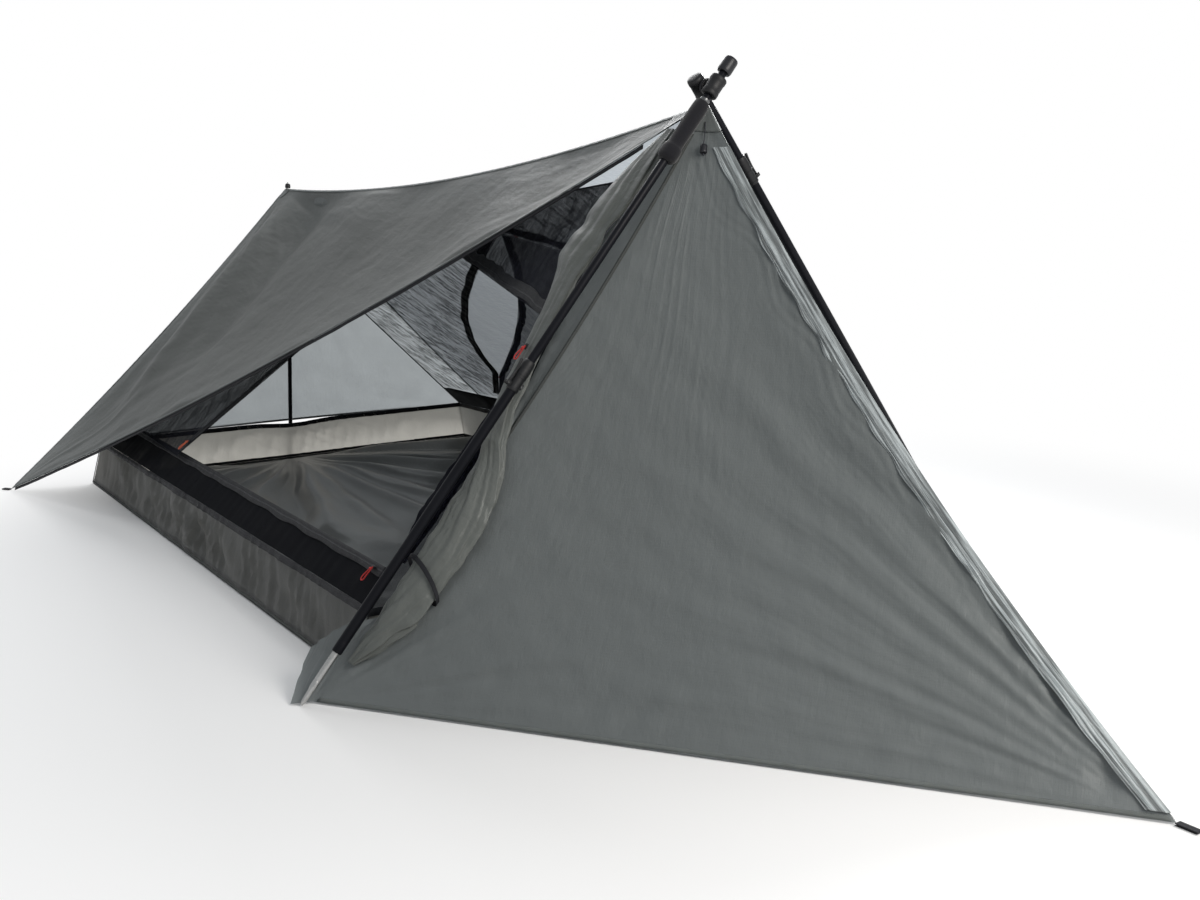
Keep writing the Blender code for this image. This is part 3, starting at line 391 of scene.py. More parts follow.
# %% Finish for thin coated cloth
def coated_cloth(name, colour, through, share, roughness=0.5, crinkle=0.0006, cloud=0.10, pleats=0.0):
    """Ripstop nylon. `pleats` adds gathers along the cloth where stitching pulls it: small folds in the
    bump, and light and dark lines over them in the colour, a painted highlight and painted shade of
    those folds.
    """
    made = Finish(name)
    where = made.place("UV")
    room = made.place("Object")
    threads = []
    for axis in (0, 1):
        along = made.node("SeparateXYZ", Vector=where, output=axis)
        threads.append(((along * (1 / 0.005)).math("FRACT") - 0.5).math("ABSOLUTE"))
    grid = threads[0].math("MAXIMUM", threads[1]).math("GREATER_THAN", 0.44)
    weave = made.node("TexWave", {"wave_type": "BANDS"}, Vector=where, Scale=90.0, Distortion=1.5)
    broad = made.noise(room, 0.35, 3.0)
    patchy = made.noise(room, 0.060, 4.0)
    tone = (broad - 0.5) * cloud * 2 + (patchy - 0.5) * cloud + grid * 0.05 + 0.5
    # The gathers go into the colour as well as the bump: painted highlight and painted shade along each
    # gathered fold.
    if pleats:
        gathers_bump_and_painted_shade = made.noise(made.place("UV", (1.0, 0.035, 1.0)), 0.007, 3.0, 0.6)
        tone = tone + (gathers_bump_and_painted_shade - 0.5) * pleats
    dark = toned(colour, 1 - 1.2 * cloud)
    light = toned(colour, 1 + 1.2 * cloud)
    base = made.blend(tone.clamped(), dark, light)
    stretched = made.place("UV", (1.0, 0.35, 1.0))
    fine = made.noise(stretched, 0.012, 4.0, 0.6)
    wide = made.noise(where, 0.050, 3.0)
    folded = made.bump(fine * 0.5 + wide, crinkle * 4)
    if pleats:
        folded = made.bump(gathers_bump_and_painted_shade, 0.0035, folded)
    surface = made.bump(grid * 0.7 + weave * 0.3, 0.00012, folded)
    outer = made.node(
        "BsdfPrincipled",
        Base_Color=base,
        Roughness=made.noise(room, 0.09, 2.0) * 0.16 + (roughness - 0.08),
        Normal=surface,
        Specular_IOR_Level=0.45,
        Sheen_Weight=0.15,
        Sheen_Roughness=0.4,
    )
    inner = made.node("BsdfTranslucent", Color=through, Normal=surface)
    return made.close(made.node("MixShader", i0=share, i1=outer, i2=inner))


FLY_GREY = grey(112, 117, 117)
FLY_THROUGH = grey(170, 176, 180)
fly_finish = coated_cloth("fly_nylon", FLY_GREY, FLY_THROUGH, 0.26)
# The left roof panel is a darker copy of the fly's cloth: painted shade.
shaded_roof_finish = coated_cloth("fly_nylon_roof_painted_shade", grey(98, 101, 99), grey(154, 158, 159), 0.23, 0.5, 0.0006,
                           0.13)
# The right roof lets through brighter light than the rest of the fly, so that it shows bright from
# inside: painted light.
lit_far_side_finish = coated_cloth("fly_nylon_far_side_painted_light", FLY_GREY, grey(184, 190, 195), 0.26, 0.5, 0.0018)
# The rear panel lets through far more light, and brighter light, than the rest of the fly: painted
# light that stands for daylight from behind.
backlit_rear_finish = coated_cloth("fly_nylon_rear_painted_light", FLY_GREY, grey(222, 228, 230), 0.40)
door_finish = coated_cloth("fly_nylon_door", FLY_GREY, FLY_THROUGH, 0.17, 0.5, 0.0008)
floor_finish = coated_cloth("floor_nylon", grey(122, 124, 123), grey(150, 148, 140), 0.08, 0.19, 0.0004,
                            0.08)
# The walls are the floor's cloth turned up, but much darker on their face, with a bright warm colour
# for the light that comes through them: painted shade and painted light.
shaded_backlit_tub_finish = coated_cloth("tub_wall_nylon_painted_shade_and_light", grey(66, 68, 68), grey(244, 240, 230), 0.36, 0.45, 0.0009,
                          0.14)
print("cloth finishes:", fly_finish.name, floor_finish.name, shaded_backlit_tub_finish.name)

# %% [markdown]
# ## How a panel is cut
#
# Each fly panel is a triangle between two sewn edges and a hem. `three_sided` fills it: `s` crosses
# from one edge to the other and `t` runs from their shared corner to the hem. Each panel also keeps
# flat axes, because weave, folds and creases are drawn on the cut cloth and then carried to the
# room.


# %% The panels of the fly
def three_sided(first, second, far, outward, dip):
    outward = np.asarray(outward)

    def place(s, t):
        s, t = np.broadcast_arrays(np.asarray(s, float), np.asarray(t, float))
        flat = between(first(1.0), second(1.0), s)
        wave = 4 * s * (1 - s) * np.sin(math.pi * np.clip(t, 0, 1))
        rows = first(t) + (second(t) - first(t)) * s[..., None]
        return rows + (far(s) - flat) * (t * t)[..., None] - outward * (dip * wave)[..., None]

    return place


class Panel:
    def __init__(self, first, second, far, outward, dip):
        self.place = three_sided(first, second, far, outward, dip)
        self.outward = np.asarray(outward, float)
        self.origin, left, right_end = first(0.0), first(1.0), second(1.0)
        self.across = unit(right_end - left)
        down = (left + right_end) / 2 - self.origin
        self.down = unit(down - self.across * (down @ self.across))
        self.area = np.linalg.norm(np.cross(left - self.origin, right_end - self.origin)) / 2

    def flat(self, points):
        away = np.asarray(points) - self.origin
        return np.stack([away @ self.across, away @ self.down], -1)

    def normal(self, s, t):
        step = 0.004
        s = np.clip(s, step, 1 - step)
        t = np.clip(t, 2 * step, 1 - step)
        over = self.place(s + step, t) - self.place(s - step, t)
        along = self.place(s, t + step) - self.place(s, t - step)
        found = unit(np.cross(over, along))
        return np.where((found @ self.outward)[..., None] > 0, found, -found)

    def width(self, t):
        return np.linalg.norm(self.place(1.0, t) - self.place(0.0, t), axis=-1)

    def lifted(self, s, t, height):
        return self.place(s, t) + self.normal(s, t) * np.asarray(height)[..., None]


PANELS = {
    "roof_left": Panel(ridge, roof_edge(-1), hip(-1), (-0.7, 0, 0.7), 0.012),
    "roof_right": Panel(ridge, roof_edge(1), hip(1), (0.7, 0, 0.7), 0.012),
    "rear": Panel(hip(-1), hip(1), rear_hem, (0, 0.99, 0.12), 0.0),
    "vestibule_left": Panel(
        pole_seam(-1), front_seam, straight(SEAM_FOOT[-1], FRONT_CORNER), (-0.69, -0.49, 0.53), 0.02
    ),
    "vestibule_right": Panel(
        pole_seam(1), front_seam, straight(SEAM_FOOT[1], FRONT_CORNER), (0.69, -0.49, 0.53), 0.02
    ),
    "door_left": Panel(
        pole_seam(-1), roof_edge(-1), straight(SEAM_FOOT[-1], REAR_CORNER[-1]), (-0.78, 0, 0.63), 0.0
    ),
    "door_right": Panel(
        pole_seam(1), roof_edge(1), straight(SEAM_FOOT[1], REAR_CORNER[1]), (0.78, 0, 0.63), 0.012
    ),
}
for name, panel in PANELS.items():
    print(f"{name}: {panel.area:.2f} square metres")

# %% [markdown]
# ## Making a sheet
#
# A sheet starts as a flat grid and is then moved point by point, the way a pattern is laid over a
# form. Its UV map keeps the flat cut in metres, so that the ripstop squares stay square. The fly is
# left as a single skin, because a second skin would stop the daylight that comes through the first.


# %% A grid laid over a form
def laid_grid(name, columns, rows, place):
    """A grid of cells put where place(s, t) says, with its UV map in metres."""
    bpy.ops.mesh.primitive_grid_add(x_subdivisions=columns, y_subdivisions=rows, size=1)
    obj = bpy.context.object
    obj.name = obj.data.name = name
    count = len(obj.data.vertices)
    corners = np.empty(count * 3)
    obj.data.vertices.foreach_get("co", corners)
    corners = corners.reshape(rows + 1, columns + 1, 3) + 0.5
    points, flat = place(corners[..., 0], corners[..., 1])
    obj.data.vertices.foreach_set("co", points.reshape(-1).astype(np.float32))
    which = np.empty(len(obj.data.loops), np.int32)
    obj.data.loops.foreach_get("vertex_index", which)
    spread = flat.reshape(-1, 2)[which].reshape(-1).astype(np.float32)
    obj.data.uv_layers[0].data.foreach_set("uv", spread)
    obj.data.update()
    return obj


def cut_area(surface, cells=80):
    """Square metres of cloth in a cut, from its surface before any fold is laid in it."""
    s, t = np.meshgrid(np.linspace(0, 1, cells), np.linspace(0, 1, cells))
    p = surface(s, t)
    first = np.cross(p[1:, :-1] - p[:-1, :-1], p[:-1, 1:] - p[:-1, :-1])
    second = np.cross(p[1:, :-1] - p[1:, 1:], p[:-1, 1:] - p[1:, 1:])
    return float((np.linalg.norm(first, axis=-1) + np.linalg.norm(second, axis=-1)).sum() / 2)


def face_outward(obj, outward):
    """Turns the faces to the given side."""
    total = np.zeros(3)
    for polygon in list(obj.data.polygons)[:: max(1, len(obj.data.polygons) // 400)]:
        total += np.array(polygon.normal) * polygon.area
    if total @ np.asarray(outward) < 0:
        obj.data.flip_normals()


def dress(obj, finish, body="shelter", stands_for=(), soft=True):
    obj.data.materials.clear()
    obj.data.materials.append(finish)
    if soft:
        obj.data.shade_smooth()
    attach(obj, body)
    if stands_for:
        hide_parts(*stands_for)
    return obj


def apply_all(obj):
    bpy.ops.object.select_all(action="DESELECT")
    obj.select_set(True)
    bpy.context.view_layer.objects.active = obj
    for step in list(obj.modifiers):
        bpy.ops.object.modifier_apply(modifier=step.name)
    return obj


def thicken(obj, thickness, offset=1.0):
    step = obj.modifiers.new("Thickness", "SOLIDIFY")
    step.thickness, step.offset, step.use_even_offset = thickness, offset, False
    return apply_all(obj)


TIP_CUT = 0.006


def fly_panel(name, key, columns, rows, folds, hold=0.03):
    """One panel of the fly. Its folds fade out within `hold` metres of the seams."""
    panel = PANELS[key]

    def place(s, t):
        t = TIP_CUT + (1 - TIP_CUT) * t
        points = panel.place(s, t)
        flat = panel.flat(points)
        to_seam = np.minimum(s, 1 - s) * panel.width(t)
        to_hem = (1 - t) * np.linalg.norm(panel.place(0.5, 1.0) - panel.origin)
        height = folds(flat, s, t) * smooth(to_seam, 0, hold) * (0.25 + 0.75 * smooth(to_hem, 0, 0.06))
        return points + panel.normal(s, t) * height[..., None], flat

    obj = laid_grid(name, columns, rows, place)
    face_outward(obj, panel.outward)
    return obj, panel


print("sheet tools ready")

# %% [markdown]
# ## The two vestibule panels
#
# These close the front of the tent and meet at the front stake. Two things pull them: the apex
# above, which draws fine lines straight down, and the stake far in front, which draws long soft
# folds back towards the pole. The seam at the front edge is slacker than the cloth beside it, so
# the cloth puckers there in a row of shallow scallops.


# %% Vestibule panels
def vestibule_folds(key):
    panel = PANELS[key]
    stake = panel.flat(FRONT_CORNER)
    foot = panel.flat(SEAM_FOOT[-1 if key.endswith("left") else 1])
    seam = unit(stake)
    hem_run = unit(stake - foot)
    hem_square = np.array((-hem_run[1], hem_run[0]))

    def folds(flat, s, t):
        fine = fan(flat, (0, -0.3), 11, 0.009, 0.022, 0.0008, 0.60, 1.55, sharp=True)
        upright = fan(flat, (0, -0.4), 13, 0.03, 0.09, 0.0011, 0.7, 1.7)
        long = fan(flat, stake, 23, 0.09, 0.26, 0.0060, 0.25, 1.5)
        thin = fan(flat, stake, 29, 0.03, 0.08, 0.0010, 0.30, 1.0, sharp=True)
        off_seam = np.abs(flat[..., 0] * seam[1] - flat[..., 1] * seam[0])
        along = flat @ seam
        lobes = np.clip(waves(along, 31, 0.10, 0.20, 4), 0, 1)
        beside = np.exp(-(((off_seam - 0.046) / 0.022) ** 2))
        scallops = -0.0085 * lobes * beside * smooth(along, 0.15, 0.4)
        pulls = 0.0013 * waves(off_seam + 0.02 * waves(along, 37, 0.2, 0.5), 41, 0.010, 0.026) * np.exp(
            -((off_seam / 0.075) ** 2)
        )
        foot_pull = fan(flat, foot, 43, 0.10, 0.30, 0.0050, 0.06, 0.6)
        hem_off = np.abs((flat - foot) @ hem_square)
        hem_waves = waves(flat[..., 0] + 0.5 * flat[..., 1], 45, 0.04, 0.11, 6)
        hem_pulls = 0.0016 * hem_waves * np.exp(-((hem_off / 0.09) ** 2))
        soft = 0.0050 * drift(flat, 47, 0.45) + 0.0010 * drift(flat, 49, 0.08)
        return fine + upright + long + thin + scallops + pulls + foot_pull + hem_pulls + soft

    return folds


for side, key, cells in ((-1, "vestibule_left", (190, 240)), (1, "vestibule_right", (110, 140))):
    obj, panel = fly_panel("fly_" + key, key, *cells, vestibule_folds(key))
    dress(obj, fly_finish, stands_for=[key])
    wide = float(panel.width(1.0))
    print(obj.name, len(obj.data.polygons), "cells")

# %% [markdown]
# ## The roof
#
# The two roof panels hang from the ridge, which sags because nothing holds it between the poles.
# The rear pole pushes up a sharp point, and folds run from it down both panels. The lower edges are
# cut free of the doors, so they hang in a shallow arc between the apex and the rear stakes.


# %% Roof panels
def roof_folds(key):
    panel = PANELS[key]
    rear = panel.flat(REAR_APEX)
    corner = panel.flat(REAR_CORNER[-1 if key.endswith("left") else 1])

    def folds(flat, s, t):
        down = unit(corner - rear)
        inward = unit(-rear)
        hollow_at = rear + inward * 0.30 + down * 0.10
        fold = stroke(flat, rear + inward * 0.10, rear + down * 0.90 + inward * 0.26, 0.060, 0.024)
        second = stroke(flat, rear + inward * 0.24, rear + down * 0.75 + inward * 0.46, 0.075, -0.022)
        hollow = -0.026 * np.exp(-(((flat - hollow_at) ** 2).sum(-1)) / 0.024)
        from_rear = fan(flat, rear, 53, 0.16, 0.45, 0.0065, 0.15, 1.3)
        thin_rear = fan(flat, rear, 59, 0.04, 0.12, 0.0011, 0.12, 1.0, sharp=True)
        from_corner = fan(flat, corner, 61, 0.08, 0.25, 0.0036, 0.2, 1.4)
        from_apex = fan(flat, (0, 0), 67, 0.05, 0.14, 0.0015, 0.2, 1.5)
        ripples = 0.0002 * waves(flat @ down + 0.05 * waves(flat @ inward, 69, 0.1, 0.3), 70, 0.025,
                                 0.06)
        soft = 0.0060 * drift(flat, 71, 0.45)
        small = 0.0006 * drift(flat, 73, 0.09)
        pulled = fold + second + hollow + from_rear + thin_rear + from_corner + from_apex
        return pulled + ripples + soft + small

    return folds


for key, cells in (("roof_left", (170, 230)), ("roof_right", (120, 160))):
    obj, panel = fly_panel("fly_" + key, key, *cells, roof_folds(key))
    dress(obj, shaded_roof_finish if key.endswith("left") else lit_far_side_finish, stands_for=[key])
    wide = float(panel.width(1.0))
    print(obj.name, len(obj.data.polygons), "cells")

# %% [markdown]
# ## The rear panel and the closed door
#
# The rear panel is cut up in an arc at its hem to let air in. The right door is zipped shut and
# slacker than the roof, so its folds are larger, and they show from inside through the mesh.


# %% Rear panel and right door
def rear_folds(flat, s, t):
    panel = PANELS["rear"]
    pulls = sum(fan(flat, panel.flat(REAR_CORNER[side]), 79 + side, 0.10, 0.3, 0.0030, 0.2, 1.1)
                for side in (-1, 1))
    return pulls + fan(flat, (0, 0), 83, 0.08, 0.25, 0.0030, 0.15, 0.9) + 0.0030 * drift(flat, 89, 0.4)


def door_folds(flat, s, t):
    panel = PANELS["door_right"]
    low = fan(flat, panel.flat(SEAM_FOOT[1]), 97, 0.12, 0.3, 0.0040, 0.15, 1.2)
    back = fan(flat, panel.flat(REAR_CORNER[1]), 101, 0.08, 0.25, 0.0050, 0.2, 1.8)
    level_pulls = 0.0006 * waves(flat[..., 1] + 0.03 * waves(flat[..., 0], 103, 0.4, 1.0), 107, 0.06,
                                 0.22)
    return low + back + level_pulls * smooth(t, 0.1, 0.3) + 0.0050 * drift(flat, 109, 0.35)


obj, panel = fly_panel("fly_rear", "rear", 120, 110, rear_folds)
dress(obj, backlit_rear_finish, stands_for=["rear_panel"])
obj, panel = fly_panel("fly_door_right", "door_right", 110, 170, door_folds)
dress(obj, door_finish, stands_for=["door_right"])
wide = float(panel.width(1.0))
print("rear panel and right door laid")

# %% [markdown]
# ## Seams, hems and zip tapes
#
# Sewn edges are where a tent looks made rather than moulded. A flat seam is a folded strip with two
# rows of stitches, a hem is the cloth turned over once, and a zip is a woven tape with a coil along
# one edge. All of them are long narrow grids laid on two neighbouring panels, then thickened.


# %% Finishes for tape, stitching and zips
def woven_tape(name, colour, rib=0.0012, coil=None, shine=0.62, stitches=None):
    """Webbing: ribs across the tape, and rows of stitches or a zip coil along it."""
    made = Finish(name)
    where = made.place("UV")
    across = made.node("SeparateXYZ", Vector=where, output=0)
    along = made.node("SeparateXYZ", Vector=where, output=1)
    ribs = (along * (2 * math.pi / rib)).math("SINE") * 0.5 + 0.5
    cross = (across * (2 * math.pi / rib * 1.3)).math("SINE") * 0.5 + 0.5
    height = ribs * 0.6 + cross * 0.4
    worn = made.noise(made.place("Object"), 0.03, 4.0)
    tone = worn * 0.7 + ribs * 0.3
    base = made.blend(tone, toned(colour, 0.72), toned(colour, 1.35))
    rough = worn * 0.2 + (shine - 0.1)
    if coil is not None:
        line = 1 - ((across - coil) * (1 / 0.0024)).math("ABSOLUTE").math("MINIMUM", 1.0)
        teeth = (along * (2 * math.pi / 0.0016)).math("SINE") * 0.5 + 0.5
        height = height * (1 - line) + (teeth * 0.5 + 1.2) * line * 2.2
        rough = rough - line * 0.22
    for row in stitches or ():
        near = ((across - row) * (1 / 0.0006)).math("ABSOLUTE").math("LESS_THAN", 1.0)
        dash = (along * (1 / 0.0032)).math("FRACT").math("LESS_THAN", 0.68)
        mask = near * dash
        base = made.blend(mask * 0.6, base, toned(colour, 1.9, 0.02))
        height = height + mask * 1.2 - (near * (1 - dash)) * 0.8
    shader = made.node(
        "BsdfPrincipled", Base_Color=base, Roughness=rough, Normal=made.bump(height, 0.00025),
        Specular_IOR_Level=0.35
    )
    return made.close(shader)


TAPE_BLACK = grey(24, 25, 30)
black_web = woven_tape("black_webbing", TAPE_BLACK)
zip_tape = woven_tape("zip_tape", grey(20, 21, 26), coil=0.0)
seam_cloth = woven_tape("seam_cloth", grey(110, 115, 115), rib=0.0009, shine=0.55,
                        stitches=(-0.0038, 0.0038))
hem_cloth = woven_tape("hem_cloth", grey(100, 105, 104), rib=0.0009, shine=0.55, stitches=(0.003,))
bound_edge = woven_tape("bound_edge", grey(66, 69, 68), rib=0.0010, shine=0.6, stitches=(0.0,))
print("tape finishes ready")


# %% Strips over a seam or along an edge
def strip(name, finish, rows, columns, place, thickness, outward, body="shelter", stands_for=()):
    """A long narrow grid laid by place(s, t), thickened on its outward side."""
    obj = laid_grid(name, columns, rows, place)
    face_outward(obj, outward)
    thicken(obj, thickness)
    return dress(obj, finish, body, stands_for)


def length_of(curve):
    points = curve(np.linspace(0, 1, 60))
    return float(np.linalg.norm(np.diff(points, axis=0), axis=1).sum())


def over_seam(key_a, edge_a, wide_a, key_b, edge_b, wide_b, start, end, lift, pucker=0.0, seed=1):
    """Positions for a strip folded over the seam that two panels share."""
    one, two = PANELS[key_a], PANELS[key_b]

    def place(s, t):
        t = start + (end - start) * t
        over = (s - 0.5) * 2
        first = np.clip(-over, 0, 1) * wide_a / np.maximum(one.width(t), 0.01)
        second = np.clip(over, 0, 1) * wide_b / np.maximum(two.width(t), 0.01)
        s_a = edge_a + (first if edge_a < 0.5 else -first)
        s_b = edge_b + (second if edge_b < 0.5 else -second)
        n_a, n_b = one.normal(s_a, t), two.normal(s_b, t)
        on_a, on_b = one.place(s_a, t), two.place(s_b, t)
        middle = unit(n_a + n_b)
        middle = middle / np.maximum((middle * n_a).sum(-1, keepdims=True), 0.5)
        flat_here = np.abs(over)[..., None] < 0.001
        normal = np.where(flat_here, middle, np.where(over[..., None] < 0, n_a, n_b))
        along = t * float(np.linalg.norm(one.place(edge_a, 1.0) - one.origin))
        rough = pucker * waves(along + 0.01 * over, seed, 0.012, 0.05) * (1 - np.abs(over) * 0.3)
        point = np.where(over[..., None] < 0, on_a, on_b) + normal * (lift + rough)[..., None]
        wide = np.where(over < 0, over * wide_a, over * wide_b)
        return point, np.stack([wide, along], -1)

    return place


def on_edge(key, edge, reach_in, start, end, lift, pucker=0.0, seed=1):
    """Positions for a strip on one panel, from its seam edge inwards."""
    panel = PANELS[key]

    def place(s, t):
        t = start + (end - start) * t
        share = s * reach_in / np.maximum(panel.width(t), 0.01)
        here = edge + (share if edge < 0.5 else -share)
        along = t * float(np.linalg.norm(panel.place(edge, 1.0) - panel.origin))
        height = lift + pucker * waves(along, seed, 0.010, 0.05)
        return panel.lifted(here, t, height), np.stack([s * reach_in - reach_in / 2, along], -1)

    return place


def on_hem(key, reach_in, lift, end=0.9992, start=0.004, finish_at=0.996):
    """Positions for a strip along the far edge of a panel, its hem."""
    panel = PANELS[key]
    tall = float(np.linalg.norm(panel.place(0.5, 1.0) - panel.origin))

    def place(s, t):
        here = start + (finish_at - start) * t
        row = end - s * reach_in / tall
        along = t * float(panel.width(1.0))
        return panel.lifted(here, row, lift + 0 * t), np.stack([s * reach_in - reach_in / 2, along], -1)

    return place


SKY = (0, 0, 1)
for name, key_a, key_b, start, end, outward in (
    ("seam_ridge", "roof_left", "roof_right", 0.02, 0.985, SKY),
    ("seam_pole_right", "vestibule_right", "door_right", 0.03, 0.99, (0.8, -0.3, 0.6)),
):
    place = over_seam(key_a, 0, 0.006, key_b, 0, 0.006, start, end, LIFT, 0.0003, 5)
    strip(name, seam_cloth, 260, 4, place, 0.0005, outward)


def over_hip(side):
    """The hip joins the roof's far edge to the rear panel's side edge."""
    roof, rear = PANELS["roof_left" if side < 0 else "roof_right"], PANELS["rear"]

    def place(s, t):
        t = 0.02 + 0.965 * t
        over = (s - 0.5) * 2
        row = 1 - np.clip(-over, 0, 1) * 0.006 / 2.1
        share = np.clip(over, 0, 1) * 0.006 / np.maximum(rear.width(t), 0.01)
        edge = share if side < 0 else 1 - share
        n_a, n_b = roof.normal(t, row), rear.normal(edge, t)
        middle = unit(n_a + n_b)
        middle = middle / np.maximum((middle * n_a).sum(-1, keepdims=True), 0.5)
        normal = np.where(np.abs(over)[..., None] < 0.001, middle,
                          np.where(over[..., None] < 0, n_a, n_b))
        along = t * 1.2
        lift = LIFT + 0.0003 * waves(along, 9, 0.012, 0.05)
        point = np.where(over[..., None] < 0, roof.place(t, row),
                         rear.place(edge, t)) + normal * lift[..., None]
        return point, np.stack([over * 0.006, along], -1)

    return place


for side, name in ((-1, "left"), (1, "right")):
    strip(f"seam_hip_{name}", seam_cloth, 160, 4, over_hip(side), 0.0005, (side * 0.5, 0.5, 0.6))
for name, key, outward in (
    ("hem_vestibule_left", "vestibule_left", (-0.69, -0.49, 0.53)),
    ("hem_vestibule_right", "vestibule_right", (0.69, -0.49, 0.53)),
    ("hem_door_right", "door_right", (0.78, 0, 0.63)),
    ("hem_rear", "rear", (0, 1, 0.1)),
):
    strip(name, hem_cloth, 160, 1, on_hem(key, 0.008, LIFT), 0.0005, outward)
print("seams and hems sewn")

# %% [markdown]
# ## The front band and the zips of the fly
#
# A band of the fly's own cloth covers the front zip. It is wider than it needs to be and gathered
# by the stitching, so it carries long pleats that run with the seam. Its colour is much lighter than
# the rest of the fly's, with light and dark lines along the pleats: painted light, and a painted
# highlight and painted shade on the pleats. Where the left roof panel and the right door end, a black
# zip tape follows the edge, and the roof's edges are bound in cloth.

# %% Front band, bound edges and side zips
# The band is the fly's cloth given a much lighter colour: painted light.
lit_band_finish = coated_cloth("band_nylon_painted_light", grey(158, 165, 167), FLY_THROUGH, 0.14, 0.34, 0.0009, 0.42,
                           pleats=7.0)
BAND_LEFT, BAND_RIGHT = 0.036, 0.016


def front_band(s, t):
    base, flat = over_seam(
        "vestibule_left", 1, BAND_LEFT, "vestibule_right", 1, BAND_RIGHT, 0.070, 0.990, LIFT + 0.0016
    )(s, t)
    over = (s - 0.5) * 2
    along = flat[..., 1]
    pleats = waves(over * BAND_LEFT + 0.004 * waves(along, 3, 0.15, 0.5), 7, 0.006, 0.014, 5)
    gather = waves(along + 0.2 * over * BAND_LEFT, 13, 0.05, 0.16, 5)
    free = smooth(np.clip(-over, 0, 1), 0.05, 0.6)
    outward = unit(np.array((-0.60, -0.45, 0.60)))
    height = (0.0026 * pleats * (0.5 + 0.5 * free) + 0.0022 * gather * free) * smooth(t, 0.0, 0.06)
    wander = 0.5 + 0.5 * waves(along, 17, 0.08, 0.22)
    edge_shift = -0.008 * wander * smooth(np.clip(-over, 0, 1), 0.6, 1.0)
    panel = PANELS["vestibule_left"]
    inward = unit(panel.place(0.5, 1.0) - panel.place(1.0, 1.0))
    return base + outward * (height + 0.0010)[..., None] + inward * edge_shift[..., None], flat


strip("fly_front_band", lit_band_finish, 420, 26, front_band, 0.0005, (-0.6, -0.45, 0.6),
      stands_for=["front_band"])
for side, key, outward in ((-1, "roof_left", (-0.7, 0, 0.7)), (1, "roof_right", (0.7, 0, 0.7))):
    name = "left" if side < 0 else "right"
    strip(f"bound_edge_{name}", hem_cloth, 300, 2,
          on_edge(key, 1, 0.011 if side < 0 else 0.006, 0.03, 0.995, LIFT, 0.0003, 19),
          0.0010, outward)
# A real seam runs down the left pole. It is bound in dark tape, unlike the right pole's seam, so that
# it also stands for the pole's shadow on the cloth: painted shadow.
strip("seam_pole_left_dark_as_shadow", bound_edge, 260, 2,
      on_edge("vestibule_left", 0, 0.007, 0.05, 0.80, LIFT, 0.0002, 23), 0.0006,
      (-0.69, -0.49, 0.53))


def hung_zip(side):
    """The free zip tape hangs from the roof's edge on the inside, its coil at the bottom."""
    panel = PANELS["roof_left" if side < 0 else "roof_right"]

    def place(s, t):
        t = 0.06 + 0.93 * t
        edge = panel.place(1.0, t)
        drop = np.array((side * 0.0012, 0, -0.0085))
        sway = 0.0012 * waves(t * 2.4, 21, 0.06, 0.3)
        point = edge + drop * s[..., None] + np.array((side, 0, 0.2)) * (sway * s - 0.0012)[..., None]
        return point, np.stack([0.006 - 0.0075 * s, t * 2.4], -1)

    return place


strip("zip_side_left", zip_tape, 300, 3, hung_zip(-1), 0.0009, (-1, 0, 0.3),
      stands_for=["side_zip_left"])
strip(
    "zip_side_right", zip_tape, 300, 4,
    over_seam("door_right", 1, 0.010, "roof_right", 1, 0.004, 0.075, 0.985, LIFT + 0.0010), 0.0009,
    (0.8, 0, 0.6),
    stands_for=["side_zip_right"],
)
print("band and zips ready")

# %% [markdown]
# ## Reinforcements
#
# Where a pole or a stake pulls, the cloth is doubled. At the front apex five panels meet under one
# patch, and at the rear apex a round patch carries an eyelet that the pole's pin goes through.

# %% Apex and rear patches
ROUTE = (("roof_left", 1, 0), ("roof_right", 0, 1), ("door_right", 1, 0), ("vestibule_right", 0, 1),
         ("vestibule_left", 1, 0))


def apex_patch(s, t):
    reach = 0.004 + 0.041 * t
    where = np.clip(s, 0, 0.99999) * len(ROUTE)
    index = where.astype(int)
    within = where - index
    point, normal = np.zeros(s.shape + (3,)), np.zeros(s.shape + (3,))
    for k, (key, first, last) in enumerate(ROUTE):
        mask = index == k
        panel = PANELS[key]
        here = first + (last - first) * within
        point[mask], normal[mask] = panel.place(here, reach)[mask], panel.normal(here, reach)[mask]
    lift = LIFT + 0.0012 + 0.0002 * waves(s * 0.3, 25, 0.02, 0.06)
    flat = np.stack([reach * np.cos(4 * s) * 1.3, reach * np.sin(4 * s) * 1.3], -1)
    return point + normal * lift[..., None], flat


patch_finish = coated_cloth("patch_nylon", grey(104, 109, 109), FLY_THROUGH, 0.10, 0.5, 0.0003, 0.06)
strip("patch_apex", patch_finish, 14, 60, apex_patch, 0.0006, SKY, stands_for=["apex_patch"])


def rear_patch(s, t):
    angle = 2 * math.pi * s
    reach = 0.0036 + 0.0215 * t
    x, run = reach * np.cos(angle), PIN_RUN + reach * np.sin(angle) * np.where(t > 0.5, 0.75, 1.0)
    along = np.minimum(run / RIDGE_RUN, 0.997)
    share = np.abs(x) / (REAR_HALF * along)
    left, right_side = PANELS["roof_left"], PANELS["roof_right"]
    point = np.where((x < 0)[..., None], left.place(share, along), right_side.place(share, along))
    normal = np.where((x < 0)[..., None], left.normal(share, along), right_side.normal(share, along))
    return point + normal * (LIFT + 0.0008), np.stack([x, run - PIN_RUN], -1)


strip("patch_rear", patch_finish, 8, 48, rear_patch, 0.0006, SKY, stands_for=["rear_patch"])
print("patches sewn")

